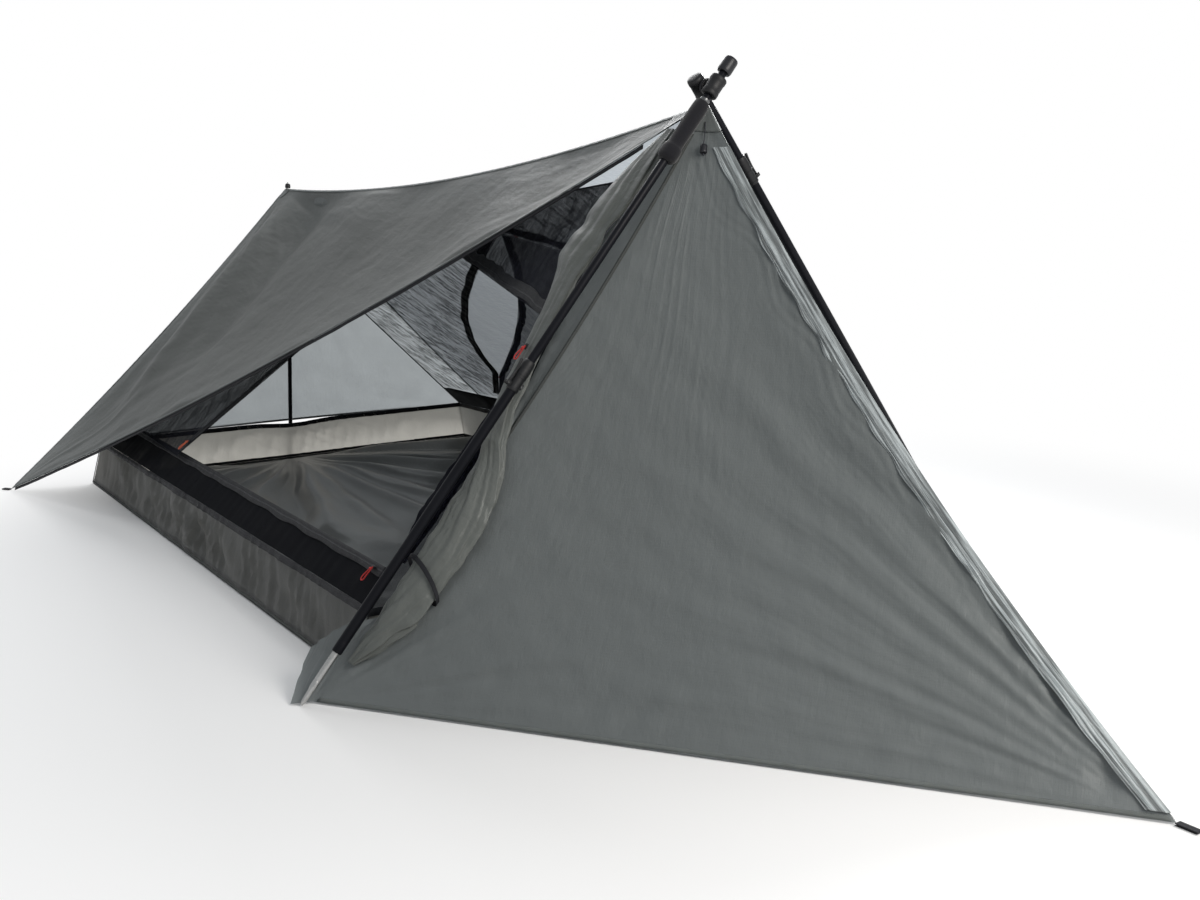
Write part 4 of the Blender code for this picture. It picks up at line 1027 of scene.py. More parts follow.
# %% [markdown]
# ## The left door, rolled up
#
# The left fly door is rolled round its free edge and tied beside the pole. A roll of thin cloth is
# a spiral of layers, squashed flat where it is held and puffed where it is free, with creases that
# run along it. It is made as one sheet wound one turn and two thirds round a middle line that
# passes behind the pole, so its free edge shows as a long ridge.

# %% The roll's middle line
# Share of the pole seam's length, distance from the seam, half width, half thickness
ROLL = np.array((
    (0.045, -0.048, 0.015, 0.005), (0.090, -0.062, 0.036, 0.010), (0.140, -0.080, 0.048, 0.013),
    (0.200, -0.092, 0.054, 0.016), (0.270, -0.100, 0.055, 0.017), (0.355, -0.072, 0.042, 0.017),
    (0.440, -0.052, 0.036, 0.016), (0.520, -0.030, 0.032, 0.014), (0.565, -0.006, 0.030, 0.013),
    (0.615, 0.020, 0.036, 0.014), (0.670, 0.035, 0.043, 0.015), (0.730, 0.041, 0.045, 0.016),
    (0.780, 0.043, 0.0445, 0.0155), (0.800, 0.044, 0.0425, 0.0142), (0.820, 0.045, 0.0440, 0.0150),
    (0.860, 0.047, 0.040, 0.014), (0.910, 0.034, 0.024, 0.010), (0.938, 0.022, 0.009, 0.005),
))
ROLL_CLEARANCE = 0.0045
TIE_AT = 0.800
steps = np.linspace(ROLL[0, 0], ROLL[-1, 0], 500)
soften = np.exp(-np.linspace(-2, 2, 13) ** 2)
soften = soften / soften.sum()
MIDDLE = [np.convolve(np.pad(np.interp(steps, ROLL[:, 0], ROLL[:, k]), 6, "edge"), soften, "valid")
          for k in (1, 2, 3)]


def beside_seam(t, away):
    """Points on the fly at a distance from the left pole seam, and the outward direction there."""
    front, door = PANELS["vestibule_left"], PANELS["door_left"]
    on_front = np.clip(away, 0, None) / front.width(t)
    on_door = np.clip(-away, 0, None) / door.width(t)
    share = np.clip((away + 0.03) / 0.06, 0, 1)[..., None]
    outward = unit(door.normal(on_door, t) * (1 - share) + front.normal(on_front, t) * share)
    point = np.where((away >= 0)[..., None], front.place(on_front, t), door.place(on_door, t))
    return point, outward


def roll_frame(t):
    """Middle of the roll, the directions across it and out from the cloth, and its half sizes."""
    away, wide, thick = (np.interp(t, steps, row) for row in MIDDLE)
    base, outward = beside_seam(t, away)
    run = unit(pole_seam(-1)(t + 0.01) - pole_seam(-1)(t - 0.01))
    run = unit(run - outward * (run * outward).sum(-1, keepdims=True))
    across = np.cross(run, outward)
    return base + outward * (thick + ROLL_CLEARANCE)[..., None], across, outward, wide, thick


print("roll from", ROLL[0, 0], "to", ROLL[-1, 0], "of the seam")


# %% The wound sheet
SEAM_LENGTH = float(np.linalg.norm(SEAM_FOOT[-1] - APEX))


def wound(u, v):
    t = ROLL[0, 0] + (ROLL[-1, 0] - ROLL[0, 0]) * v
    centre, across, outward, wide, thick = roll_frame(t)
    along = t * SEAM_LENGTH
    angle = math.radians(-300) + math.radians(600) * u + 0.10 * waves(along, 201, 0.18, 0.6, 4)
    shrink = 0.74 + 0.26 * smooth(u, 0.0, 0.95)
    around = np.mod(angle + 0.55 * waves(along, 203, 0.30, 0.8, 4), 2 * math.pi)
    gather = 0.5 + 0.5 * smooth(np.abs(t - TIE_AT), 0.01, 0.06)
    top = 1 - smooth(t, 0.24, 0.34)
    end = smooth(t, TIE_AT + 0.01, TIE_AT + 0.05)
    creased = 0.085 * (np.cos(5 * around) + 0.7 * np.cos(9 * around + 1.3) + 0.4
                       * np.cos(16 * around + 0.4))
    pleats = 0.115 * (np.cos(7 * around + 0.8) + 0.5 * np.cos(12 * around))
    crescents = (0.13 * np.cos(3 * around - 60 * (t - TIE_AT)) + 0.07
                 * np.cos(5 * around + 110 * (t - TIE_AT))) * end
    small = 0.050 * waves(along + 0.01 * np.cos(3 * around), 207, 0.03, 0.12, 5) * gather
    swell = shrink * (0.93 + (creased * (1 - top) + pleats * top) * gather + crescents + small) / 1.06
    waist = 0.24 * np.exp(-(((t - 0.216) / 0.016) ** 2))
    waist = waist + 0.22 * smooth(t, 0.268, 0.31) * (1 - smooth(t, 0.42, 0.50))
    swell = np.minimum(swell, 1.0) * (1 - waist)
    point = (
        centre
        + across * (wide * np.cos(angle) * swell)[..., None]
        + outward * (thick * np.sin(angle) * swell)[..., None]
    )
    return point, np.stack([u * 0.30, along], -1)


# The rolled cloth is darker than the fly's cloth: painted shade. It also lets less light through, as a
# roll of several layers does.
shaded_roll_finish = coated_cloth("rolled_nylon_painted_shade", grey(104, 108, 105), FLY_THROUGH, 0.14, 0.40, 0.0012, 0.16)
roll = laid_grid("door_left_rolled", 132, 420, wound)
face_outward(roll, (-0.7, -0.4, 0.6))
dress(roll, shaded_roll_finish, stands_for=["door_left_roll"])
rolled_area = sum(p.area for p in roll.data.polygons)
print("rolled cloth:", round(rolled_area, 3), "square metres")

# %% [markdown]
# Between the pole seam and the roll the door's cloth is still flat. It lies behind the pole, and the
# roll's weight pulls short folds across it.


# %% The flat cloth that leads into the roll
NECK_START, NECK_SPAN = 0.040, 0.505


def neck_reach(t):
    here = NECK_START + NECK_SPAN * t
    away, wide = (np.interp(here, steps, row) for row in MIDDLE[:2])
    return here, np.minimum(away + 0.45 * wide, -0.0004)


def door_neck(s, t):
    here, reach = neck_reach(t)
    place, outward = beside_seam(here, reach * s)
    along = here * SEAM_LENGTH
    rise = 0.0004 + 0.0052 * smooth(s, 0.2, 1.0) + 0.0012 * waves(along + 0.02 * s, 213, 0.03, 0.10) * s
    return place + outward * rise[..., None], np.stack([-reach * s, along], -1)


neck = laid_grid("door_left_neck", 14, 260, door_neck)
face_outward(neck, (-0.7, -0.2, 0.6))
dress(neck, fly_finish, stands_for=["door_left_roll"])
neck_cut = cut_area(lambda s, t: beside_seam(neck_reach(t)[0], neck_reach(t)[1] * s)[0])
neck_size = (float(-neck_reach(np.linspace(0, 1, 200))[1].min()), NECK_SPAN * SEAM_LENGTH)
print("flat cloth beside the seam:", round(neck_cut, 4), "square metres")

# %% [markdown]
# A webbing loop holds the roll. It is one closed band that sinks a little into the cloth. Below
# it, the door's last corner lies flat against the seam down to the stake.


# %% The tie and the door's foot
def closed_band(name, columns, rows, place, centre):
    """A band whose first and last rows are merged into one, with its faces away from the centre."""
    obj = laid_grid(name, columns, rows, place)
    shape = bmesh.new()
    shape.from_mesh(obj.data)
    bmesh.ops.remove_doubles(shape, verts=shape.verts, dist=0.00005)
    shape.to_mesh(obj.data)
    shape.free()
    middle = np.asarray(centre)
    total = sum((np.array(p.center) - middle) @ np.array(p.normal) * p.area for p in obj.data.polygons)
    if total < 0:
        obj.data.flip_normals()
    return obj


def ring_of_tape(name, finish, place, columns, rows, thickness, centre, stands_for):
    obj = closed_band(name, columns, rows, place, centre)
    thicken(obj, thickness)
    return dress(obj, finish, stands_for=stands_for)


def tie_band(s, t):
    angle = 2 * math.pi * t
    slant = 0.014 * np.sin(angle) + 0.018 * np.cos(angle)
    here = TIE_AT + ((s - 0.5) * 0.009 - slant) / SEAM_LENGTH
    centre, across, outward, wide, thick = roll_frame(here)
    wave = 1 + 0.012 * np.cos(3 * angle + 1) + 0.010 * np.cos(7 * angle)
    point = (
        centre + across * ((wide + 0.0035) * np.cos(angle) * wave)[..., None]
        + outward * ((thick + 0.0026) * np.sin(angle) * wave)[..., None]
    )
    return point, np.stack([(s - 0.5) * 0.009, t * 0.2], -1)


tie_centre = roll_frame(np.array(TIE_AT))[0]
ring_of_tape("roll_tie", black_web, tie_band, 4, 96, 0.0009, tie_centre, ["door_tie_left"])


FOOT_START, FOOT_SPAN = 0.862, 0.137
FOOT_EDGE = np.array([
    pole_seam(-1)(FOOT_START), spot(-0.718, 0.079, 0.126), spot(-0.739, 0.110, 0.106),
    spot(-0.7625, 0.145, 0.0745),
    spot(-0.784, 0.133, 0.050), spot(-0.806, 0.106, 0.026), spot(-0.829, 0.078, 0.003),
])
FOOT_SHARES = (0, 0.12, 0.28, 0.50, 0.66, 0.82, 1.0)


def foot_sides(t):
    far = np.stack([np.interp(t, FOOT_SHARES, FOOT_EDGE[:, k]) for k in range(3)], -1)
    return pole_seam(-1)(FOOT_START + FOOT_SPAN * t), far


def door_foot(s, t):
    near, far = foot_sides(t)
    gap = np.linalg.norm(far - near, axis=-1)
    fold = (0.0030 * np.cos(s * 8 + 3 * t) + 0.0016
            * waves(s * gap + 0.3 * t * 0.16, 211, 0.012, 0.035)) * smooth(
        gap, 0.004, 0.03
    )
    outward = unit(np.array((-0.78, 0.1, 0.63)))
    hold = smooth(np.minimum(s, 1 - 0.6 * s), 0, 0.25) * smooth(1 - t, 0, 0.2)
    point = near + (far - near) * s[..., None] + outward * (fold * hold)[..., None]
    return point, np.stack([s * gap, t * 0.16], -1)


foot_cloth = laid_grid("door_left_foot", 30, 70, door_foot)
face_outward(foot_cloth, (-0.78, 0, 0.63))
dress(foot_cloth, fly_finish, stands_for=["door_left_roll"])
foot_cut = cut_area(lambda s, t: between(*foot_sides(t), s))
print("foot cut:", round(foot_cut, 4), "square metres")
print("tie and foot sewn")

# %% [markdown]
# ## The cord at the apex
#
# A short cord hangs from the apex patch on the shaded side, with a sprung lock and a knot under it.
# It is limp, 2 mm thick and hangs down the cloth, so its route is a nearly straight line.

# %% Cord, lock and knot
FLY_THICK, LAY_GAP, CORD_RADIUS = 0.0012, 0.0005, 0.0010
front = PANELS["vestibule_left"]
cord_top = front.lifted(np.array(0.45), np.array(0.030),
                        FLY_THICK + LAY_GAP + 0.0008 + CORD_RADIUS + 0.0004)
cord_low = front.lifted(np.array(0.47), np.array(0.085), FLY_THICK + 0.0120)
cord_length = float(np.linalg.norm(cord_low - cord_top))


def smooth_curve(name, points, radius, sides=3):
    """A round cord along one smooth open curve."""
    curve = bpy.data.curves.new(name, "CURVE")
    curve.dimensions = "3D"
    curve.bevel_depth, curve.bevel_resolution, curve.use_fill_caps = radius, sides, True
    spline = curve.splines.new("POLY")
    spline.points.add(len(points) - 1)
    for target, point in zip(spline.points, points):
        target.co = (*point, 1)
    obj = bpy.data.objects.new(name, curve)
    bpy.context.collection.objects.link(obj)
    return obj


def braided(name, colour, size=0.0022, fleck=None):
    """A braided sheath: two sets of strands that wind round the cord in opposite directions."""
    made = Finish(name)
    where = made.place("Object")
    strands = made.node("TexWave", {"wave_type": "BANDS", "bands_direction": "DIAGONAL"}, Vector=where,
                        Scale=1 / size)
    other = made.node(
        "TexWave", {"wave_type": "BANDS", "bands_direction": "DIAGONAL"},
        Vector=made.node("Mapping", Vector=made.node("TexCoord", output="Object"), Scale=(-1, 1, 1)),
        Scale=1 / size,
    )
    weave = strands.math("MAXIMUM", other)
    dark = toned(colour, 0.45)
    base = made.blend(weave, dark, fleck or colour)
    fuzz = made.noise(where, 0.0009, 2.0)
    return made.close(
        made.node("BsdfPrincipled", Base_Color=base, Roughness=fuzz * 0.2 + 0.6,
                  Normal=made.bump(weave, 0.0002))
    )


black_cord = braided("black_cord", grey(44, 46, 54))
sway = np.linspace(0, 1, 20)
cord_points = between(cord_top, cord_low, sway) + np.stack(
    [0.0006 * np.sin(2.2 * math.pi * sway) * (1 - sway) * sway * 4, 0 * sway, 0 * sway], -1
)
knot_at = cord_low + unit(cord_low - cord_top) * 0.0012


def knot(name, place, size, finish, body):
    """An overhand knot: a short thick torus wound round a ball, pulled tight."""
    bpy.ops.mesh.primitive_torus_add(
        major_radius=size * 0.55, minor_radius=size * 0.45, major_segments=20, minor_segments=10,
        location=place,
        rotation=(0.7, 0.5, 0.2),
    )
    ring_part = bpy.context.object
    bpy.ops.mesh.primitive_uv_sphere_add(segments=16, ring_count=10, radius=size * 0.72, location=place)
    ball = bpy.context.object
    ball.scale = (1, 1, 1.25)
    bpy.ops.object.select_all(action="DESELECT")
    ring_part.select_set(True)
    ball.select_set(True)
    bpy.context.view_layer.objects.active = ring_part
    bpy.ops.object.join()
    bpy.ops.object.transform_apply(location=True, rotation=True, scale=True)
    tied = bpy.context.object
    tied.name = tied.data.name = name
    return dress(tied, finish, body)


knot("apex_knot", knot_at, 0.0022, black_cord, "shelter")
hanging_cord = smooth_curve("apex_cord_hanging", cord_points, CORD_RADIUS)
hanging_cord.data.materials.append(black_cord)
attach(hanging_cord, "shelter")
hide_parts("apex_cord")
print("apex cord", round(cord_length * 1000), "mm long")

# %% [markdown]
# ## The inner tent
#
# The inner has a bathtub floor of coated nylon, whose walls are turned up at the edge, and mesh
# above it. Mesh is knitted from fine dark yarn with holes of about a millimetre, far smaller than
# anything the camera can separate here, so it is drawn as a dark veil whose cover changes a little
# with the knit and grows where the netting is creased.

# %% Finish for mesh


def netting(name, colour, cover, crinkle=0.0, direction=(1, 1, 1), size=0.02, turn=0.0):
    made = Finish(name)
    where = made.place("UV")
    room = made.place("Object")
    knit = made.node("TexVoronoi", {"feature": "DISTANCE_TO_EDGE"}, Vector=where, Scale=1 / 0.0016)
    yarn = (1 - (knit * 5.0).math("MINIMUM", 1.0)) * 0.16
    veil = (made.noise(room, 0.07, 3.0) - 0.5) * 0.14
    alpha = yarn + veil + (cover - 0.05)
    height = made.noise(where, 0.004, 2.0)
    if crinkle:
        stretched = made.place("UV", direction, turn)
        warp = made.noise(stretched, size, 3.0, 0.55)
        line = 1 - ((warp - 0.5) * 15.0).math("ABSOLUTE").math("MINIMUM", 1.0)
        finer = made.noise(made.place("UV", tuple(2.3 * d for d in direction), turn + 0.2), size, 3.0,
                           0.6)
        hair = 1 - ((finer - 0.52) * 22.0).math("ABSOLUTE").math("MINIMUM", 1.0)
        alpha = alpha + line * crinkle + hair * (crinkle * 0.7)
        height = height * 0.3 + line * 2 + hair
    alpha = alpha.clamped()
    shade = made.noise(room, 0.03, 3.0)
    base = made.blend(shade, toned(colour, 0.6), toned(colour, 1.4))
    return made.close(
        made.node(
            "BsdfPrincipled", Base_Color=base, Roughness=shade * 0.2 + 0.75, Alpha=alpha,
            Normal=made.bump(height, 0.0003), Specular_IOR_Level=0.06,
        )
    )


NET = grey(40, 41, 52)
wall_net = netting("mesh_plain", NET, 0.50)
slack_net = netting("mesh_slack", grey(27, 28, 35), 0.84, 0.07, (5.0, 1.0, 1.0), 0.14)
end_net = netting("mesh_end", NET, 0.16)
strip_net = netting("mesh_strip_cloth", grey(18, 19, 23), 1.02)
crinkled_net = netting("mesh_crinkled", grey(24, 25, 30), 0.13, 0.52, (7.0, 1.0, 1.0), 0.16,
                       math.radians(-8))
# The closed mesh door is a lighter, bluer copy of the netting: painted light.
lit_door_net = netting("mesh_door_cloth_painted_light", grey(56, 59, 74), 0.68, 0.09, (6.0, 1.0, 1.0), 0.16,
                   math.radians(12))
bundle_net = netting("mesh_bundled", grey(24, 25, 31), 1.08)
print("mesh finishes ready")

# %% [markdown]
# ## Floor and bathtub walls
#
# The floor is pitched tight between its corners, but the rear pole stands on it, so long folds run
# out from the pole's foot over the floor. The walls are held up only by the mesh sewn to their tops,
# so they are slack and creased, and a dark binding runs along their upper edge.


# %% Corners of the inner
WALL_HEIGHT, WALL_LEAN = 0.130, 0.030


def wall_corner(side, rear, height):
    half, run = (0.630, 2.150) if rear else (0.690, 0.100)
    share, end = height / WALL_HEIGHT, 1 if not rear else -1
    return spot(side * (half - 0.002 - WALL_LEAN * share), run + end * (0.002 + 0.02 * share), height)


def strip_corner(side, rear):
    lean = 0.050 * (1.28 if rear else 1.0)
    step = np.array((-side * lean, -0.005 if rear else 0.005, 0.060))
    return wall_corner(side, rear, WALL_HEIGHT) + step


INNER_START, INNER_LENGTH, INNER_HEIGHT = 0.130, 1.942, 0.885
INNER_FRONT, INNER_REAR = spot(0, INNER_START, INNER_HEIGHT), spot(0, 2.072, 0.690)
LEG_FOOT = {-1: spot(-0.588, 1.430, 0.192), 1: spot(0.566, 1.800, 0.192)}
LEG_TOP = {-1: spot(-0.058, 1.000, 0.742), 1: spot(0.058, 0.877, 0.753)}
FRONT_TOP = {-1: spot(-0.250, 0.150, 0.610), 1: spot(0.250, 0.150, 0.610)}
print("wall corner at the front left:", wall_corner(-1, False, WALL_HEIGHT).round(3))


# %% The floor
FLOOR_TOP = 0.0015
# Where each large fold from the rear pole's foot ends (X, run), its half width and its height
FLOOR_FOLDS = ((-0.34, 1.02, 0.026, 0.015), (-0.20, 0.92, 0.030, 0.014), (-0.02, 0.86, 0.024, 0.013),
               (0.16, 0.95, 0.030, 0.012), (0.36, 1.20, 0.026, 0.010))


def floor_place(s, t):
    front_side = between(spot(-0.689, 0.101, FLOOR_TOP), spot(0.689, 0.101, FLOOR_TOP), s)
    rear_side = between(spot(-0.629, 2.149, FLOOR_TOP), spot(0.629, 2.149, FLOOR_TOP), s)
    point = front_side + (rear_side - front_side) * t[..., None]
    flat = point[..., :2] - np.array((0, APEX_Y))
    away = flat - np.array((0, 2.150))
    reach, angle = np.hypot(away[..., 0], away[..., 1]), np.arctan2(away[..., 0], -away[..., 1])
    bend = angle + 0.05 * waves(reach, 231, 0.4, 1.2, 4)
    long = waves(bend, 233, 0.22, 0.46, 5) * 0.0120 + creases(bend, 235, 0.30, 0.6) * 0.0060
    near = smooth(reach, 0.03, 0.35) * (1 - smooth(reach, 1.2, 2.1))
    sideways = 0.0035 * waves(flat[..., 1] + 0.25 * flat[..., 0], 237, 0.10,
                              0.35) * smooth(np.abs(flat[..., 0]), 0.1, 0.5)
    low = 0.0030 * drift(flat, 239, 0.35)
    foot = np.array((0.0, 2.02))
    for aim_x, aim_run, width, height in FLOOR_FOLDS:
        low = low + stroke(flat, foot + np.array((0.12 * aim_x, 0)), np.array((aim_x, aim_run)), width,
                           height)
    edge = np.minimum(np.minimum(s, 1 - s) * 1.3, np.minimum(t, 1 - t) * 2.0)
    rise = (long * near + sideways + low + 0.0100) * smooth(edge, 0, 0.05)
    return point + np.stack([0 * rise, 0 * rise, np.maximum(rise, 0.0002)], -1), flat


floor = laid_grid("floor_sheet", 250, 330, floor_place)
face_outward(floor, (0, 0, 1))
dress(floor, floor_finish, stands_for=["floor"])
print("floor cells:", len(floor.data.polygons))


# %% The four walls in one band
RING = ((-1, False), (1, False), (1, True), (-1, True))
RING_STARTS = [wall_corner(*corner, 0.0) for corner in RING]
RING_LENGTHS = [float(np.linalg.norm(RING_STARTS[(k + 1) % 4] - RING_STARTS[k])) for k in range(4)]
RING_TOTAL = sum(RING_LENGTHS)
RING_SHARES = np.concatenate([[0], np.cumsum(RING_LENGTHS)]) / RING_TOTAL


def tub_point(s, height):
    """A point of the bathtub wall: s round the floor, and its height above the ground."""
    index = np.clip(np.searchsorted(RING_SHARES, s, side="right") - 1, 0, 3)
    within = (s - RING_SHARES[index]) / (RING_SHARES[index + 1] - RING_SHARES[index])
    share = height / WALL_HEIGHT
    low = np.array([wall_corner(*corner, 0.0) for corner in RING])
    high = np.array([wall_corner(*corner, WALL_HEIGHT) for corner in RING])
    first = low[index] + (high[index] - low[index]) * share[..., None]
    after = (index + 1) % 4
    second = low[after] + (high[after] - low[after]) * share[..., None]
    point = first + (second - first) * within[..., None]
    out = np.array(((0, -1, 0), (1, 0, 0.25), (0, 1, 0), (-1, 0, 0.25)), float)[index]
    return point, unit(out), index, within


def tub_place(s, t):
    height = 0.0018 + (WALL_HEIGHT - 0.0022) * t
    point, out, index, within = tub_point(s, height)
    along = s * RING_TOTAL
    slack = np.sin(math.pi * np.clip(within, 0, 1)) ** 0.5
    belly = np.sin(math.pi * t) * slack
    upright = 0.0066 * creases(along + 0.25 * t * 0.13, 241, 0.06, 0.22)
    slanted = 0.0085 * waves(along * 0.8 + 1.5 * height, 243, 0.10,
                             0.3) + 0.0030 * waves(along - 2.0 * height, 245, 0.03, 0.10)
    level = 0.0036 * np.cos(2 * math.pi * (t * 1.3 + 0.2 * waves(along, 247, 0.3, 0.8, 4)))
    bulge = (upright + slanted + level - 0.0025) * (0.15 + 0.85 * belly) * slack
    at_rear = (index == 2) & (np.abs(within - 0.5) < 0.5)
    dip = np.where(at_rear, 0.0090 * np.exp(-(((within - 0.5) * 1.26 / 0.10) ** 2)) * t, 0)
    flat = np.stack([along, height], -1)
    return point + out * bulge[..., None] - np.stack([0 * dip, 0 * dip, dip], -1), flat


tub = closed_band("tub_walls", 640, 16, tub_place, (0, 0.56, 0.06))
dress(tub, shaded_backlit_tub_finish, stands_for=["bathtub_wall"])


def band_along(low, high, lift):
    """A tape round the bathtub between two shares of the wall's height, just outside the cloth."""

    def place(s, t):
        share = low + (high - low) * t
        point = tub_place(s, share)[0]
        out = tub_point(s, WALL_HEIGHT * share)[1]
        flat = np.stack([(t - 0.5) * (high - low) * WALL_HEIGHT, s * RING_TOTAL], -1)
        return point + out * lift, flat

    return place


for name, low, high, lift, both, finish in (
    ("tub_binding", 0.890, 1.0, 0.0004, 0.0016, black_web),
    ("tub_seam", 0.0, 0.055, 0.0003, 0.0010, bound_edge),
    ("tub_seam_inside", 0.060, 0.125, -0.0012, 0.0008, black_web),
):
    band = closed_band(name, 640, 1, band_along(low, high, lift - both / 2), (0, 0.56, 0.06))
    thicken(band, both)
    dress(band, finish, stands_for=["bathtub_wall"])
print("walls:", round(RING_TOTAL, 2), "metres round")

# %% [markdown]
# ## Mesh walls and doors
#
# Above the walls runs a strip of dense dark mesh with the door's zip along its top. The fixed mesh
# reaches from there to the ridge, round an arched door. Netting creases into many sharp little
# lines when it hangs slack, and the far wall shows them best, because light comes through it.


# %% Surfaces of the mesh pieces
def plane_between(low_first, low_second, high_first, high_second):
    return lambda s, t: between(low_first, low_second, s) * (1 - t)[..., None] + between(
        high_first, high_second, s
    ) * t[..., None]


def stepwise(points, shares):
    """Straight runs through the points, each reached at its share of the way."""
    points = np.asarray(points)
    return lambda s: np.stack([np.interp(s, shares, points[:, k]) for k in range(3)], -1)


ALONG_RIDGE = unit(INNER_REAR - INNER_FRONT)


def lens(s):
    share = (2 * s - 0.17) / 0.83
    return np.where((share > 0) & (share < 1) & (s < 0.5), np.sin(math.pi * np.clip(share, 0, 1)), 0.0)


def arch(side):
    run = stepwise((LEG_FOOT[side], LEG_TOP[side], FRONT_TOP[side]), (0, 0.5, 1))
    bulge = 0.180 if side > 0 else 0.0
    return lambda s: run(s) + ALONG_RIDGE * (bulge * lens(s))[..., None]


def fixed_wall(side):
    over_leg = (LEG_TOP[side][1] - INNER_FRONT[1]) / (INNER_REAR[1] - INNER_FRONT[1])
    rear_low = strip_corner(side, True) + np.array((0, 0, 0.002))
    above_leg = between(INNER_FRONT, INNER_REAR, over_leg)
    outer = stepwise((rear_low, INNER_REAR, above_leg, INNER_FRONT), (0, 0.35, 0.5, 1))
    inner = arch(side)
    shift = np.array((side * 0.0006, 0, 0))

    def place(s, t):
        s = 0.0002 + 0.9996 * s
        edge = inner(s)
        return edge + (outer(s) - edge) * t[..., None] + shift

    return place


def door_sheet(side):
    front_low = strip_corner(side, False) + np.array((0, 0.004, 0.0015))
    front_high, rear_low, rear_high = FRONT_TOP[side], LEG_FOOT[side], LEG_TOP[side]

    def place(s, t):
        s, t = 0.0012 + 0.9976 * s, 0.0024 + 0.9952 * t
        leg = between(rear_low, rear_high, t) - ALONG_RIDGE * (0.100 * lens(t / 2))[..., None]
        edge = between(front_low, front_high, t)
        return edge + (leg - edge) * s[..., None]

    return place


def strip_plane(side):
    top = np.array((0, 0, 0.0003))
    return plane_between(wall_corner(side, False, WALL_HEIGHT) + top,
                         wall_corner(side, True, WALL_HEIGHT) + top,
                         strip_corner(side, False), strip_corner(side, True))


def end_plane(rear):
    shift = 0.001 if rear else -0.001
    peak = INNER_REAR + np.array((0, 0.003, -0.002))
    if not rear:
        peak = INNER_FRONT + np.array((0, -0.004, -0.002))
    left = wall_corner(-1, rear, WALL_HEIGHT) + np.array((0.004, shift, 0.0003))
    right_low = wall_corner(1, rear, WALL_HEIGHT) + np.array((-0.004, shift, 0.0003))

    def place(s, t):
        t = 0.02 + 0.98 * t
        first, second = between(peak, left, t), between(peak, right_low, t)
        dip = -0.012 * 4 * s * (1 - s) * np.sin(math.pi * t) * (1 if rear else -1)
        return first + (second - first) * s[..., None] + np.stack([0 * dip, dip, 0 * dip], -1)

    return place


def flat_of(place):
    """Flat axes for a surface: along its first row and square to it."""
    a, b, c = (place(np.array(s), np.array(t)) for s, t in ((0.02, 0.5), (0.98, 0.5), (0.5, 0.98)))
    across = unit(b - a)
    up = unit(c - a - across * ((c - a) @ across))
    return lambda points: np.stack([(points - a) @ across, (points - a) @ up], -1), np.cross(across, up)


def mesh_piece(name, place, columns, rows, finish, outward, stands_for, folds=None, slack=0.02,
               **sheet):
    to_flat, normal = flat_of(place)
    normal = normal if normal @ np.asarray(outward) > 0 else -normal

    def laid(s, t):
        point = place(s, t)
        flat = to_flat(point)
        hold = smooth(np.minimum(np.minimum(s, 1 - s) * 2, np.minimum(t, 1 - t)), 0, 0.12)
        height = (0.5 * slack * drift(flat, 251, 0.30) + (folds(flat) if folds else 0)) * hold
        return point + normal * height[..., None], flat

    obj = laid_grid(name, columns, rows, laid)
    face_outward(obj, outward)
    dress(obj, finish, stands_for=stands_for)
    spread = obj.data.uv_layers[0]
    flat = np.array([loop.uv for loop in spread.data])
    wide, tall = np.ptp(flat, axis=0)
    min(cut_area(place), float(wide * tall))
    return obj


def crinkles(flat):
    """Sharp little creases that run along the wall, with softer waves under them."""
    slant = flat[..., 0] - 0.14 * flat[..., 1] + 0.02 * waves(flat[..., 1], 253, 0.06, 0.2)
    sharp = creases(slant, 255, 0.018, 0.05) * (0.6 + 0.4 * waves(flat[..., 1], 257, 0.05, 0.2))
    return 0.0022 * sharp + 0.0035 * waves(slant, 259, 0.05, 0.14)


print("mesh surfaces ready")

# %% Mesh pieces
for side, name in ((-1, "left"), (1, "right")):
    out = (side, 0, 0.8)
    mesh_piece(f"mesh_strip_net_{name}", strip_plane(side), 220, 8, strip_net, (side, 0, 0.5),
               [f"mesh_strip_{name}"],
               lambda flat: 0.0010 * waves(flat[..., 0], 261, 0.03, 0.12), 0.001,
               rests_on=["tub_walls"])
    mesh_piece(f"mesh_wall_net_{name}", fixed_wall(side), 300, 60,
               crinkled_net if side > 0 else slack_net, out,
               [f"mesh_wall_{name}"], crinkles if side > 0 else None, 0.004 if side > 0 else 0.008,
               rests_on=[f"mesh_strip_net_{name}"])
mesh_piece("mesh_door_net_right", door_sheet(1), 150, 120, lit_door_net, (1, 0, 0.8), ["mesh_door_right"],
           crinkles, 0.006,
           rests_on=["mesh_strip_net_right"])
mesh_piece("mesh_front_net", end_plane(False), 60, 60, wall_net, (0, -1, 0), ["mesh_front"], None,
           0.004,
           rests_on=["tub_walls"])
mesh_piece("mesh_rear_net", end_plane(True), 60, 60, end_net, (0, 1, 0), ["mesh_rear"], None, 0.002,
           rests_on=["tub_walls"])
print("mesh sewn")

# %% [markdown]
# ## Tapes, bundle and tabs of the inner
#
# The doors of the inner open on wide zip tapes. They are sewn to slack mesh, so they wander a few
# millimetres from side to side. The left mesh door is gathered forward into a bundle behind the
# pole, and two short tabs of webbing carry the inner's ridge under the fly.


# %% Tapes on a mesh surface
def facing(surface, s, t, outward):
    step = 0.004
    s, t = np.clip(s, step, 1 - step), np.clip(t, step, 1 - step)
    found = unit(np.cross(surface(s + step, t) - surface(s - step, t),
                          surface(s, t + step) - surface(s, t - step)))
    return np.where((found @ np.asarray(outward))[..., None] > 0, found, -found)


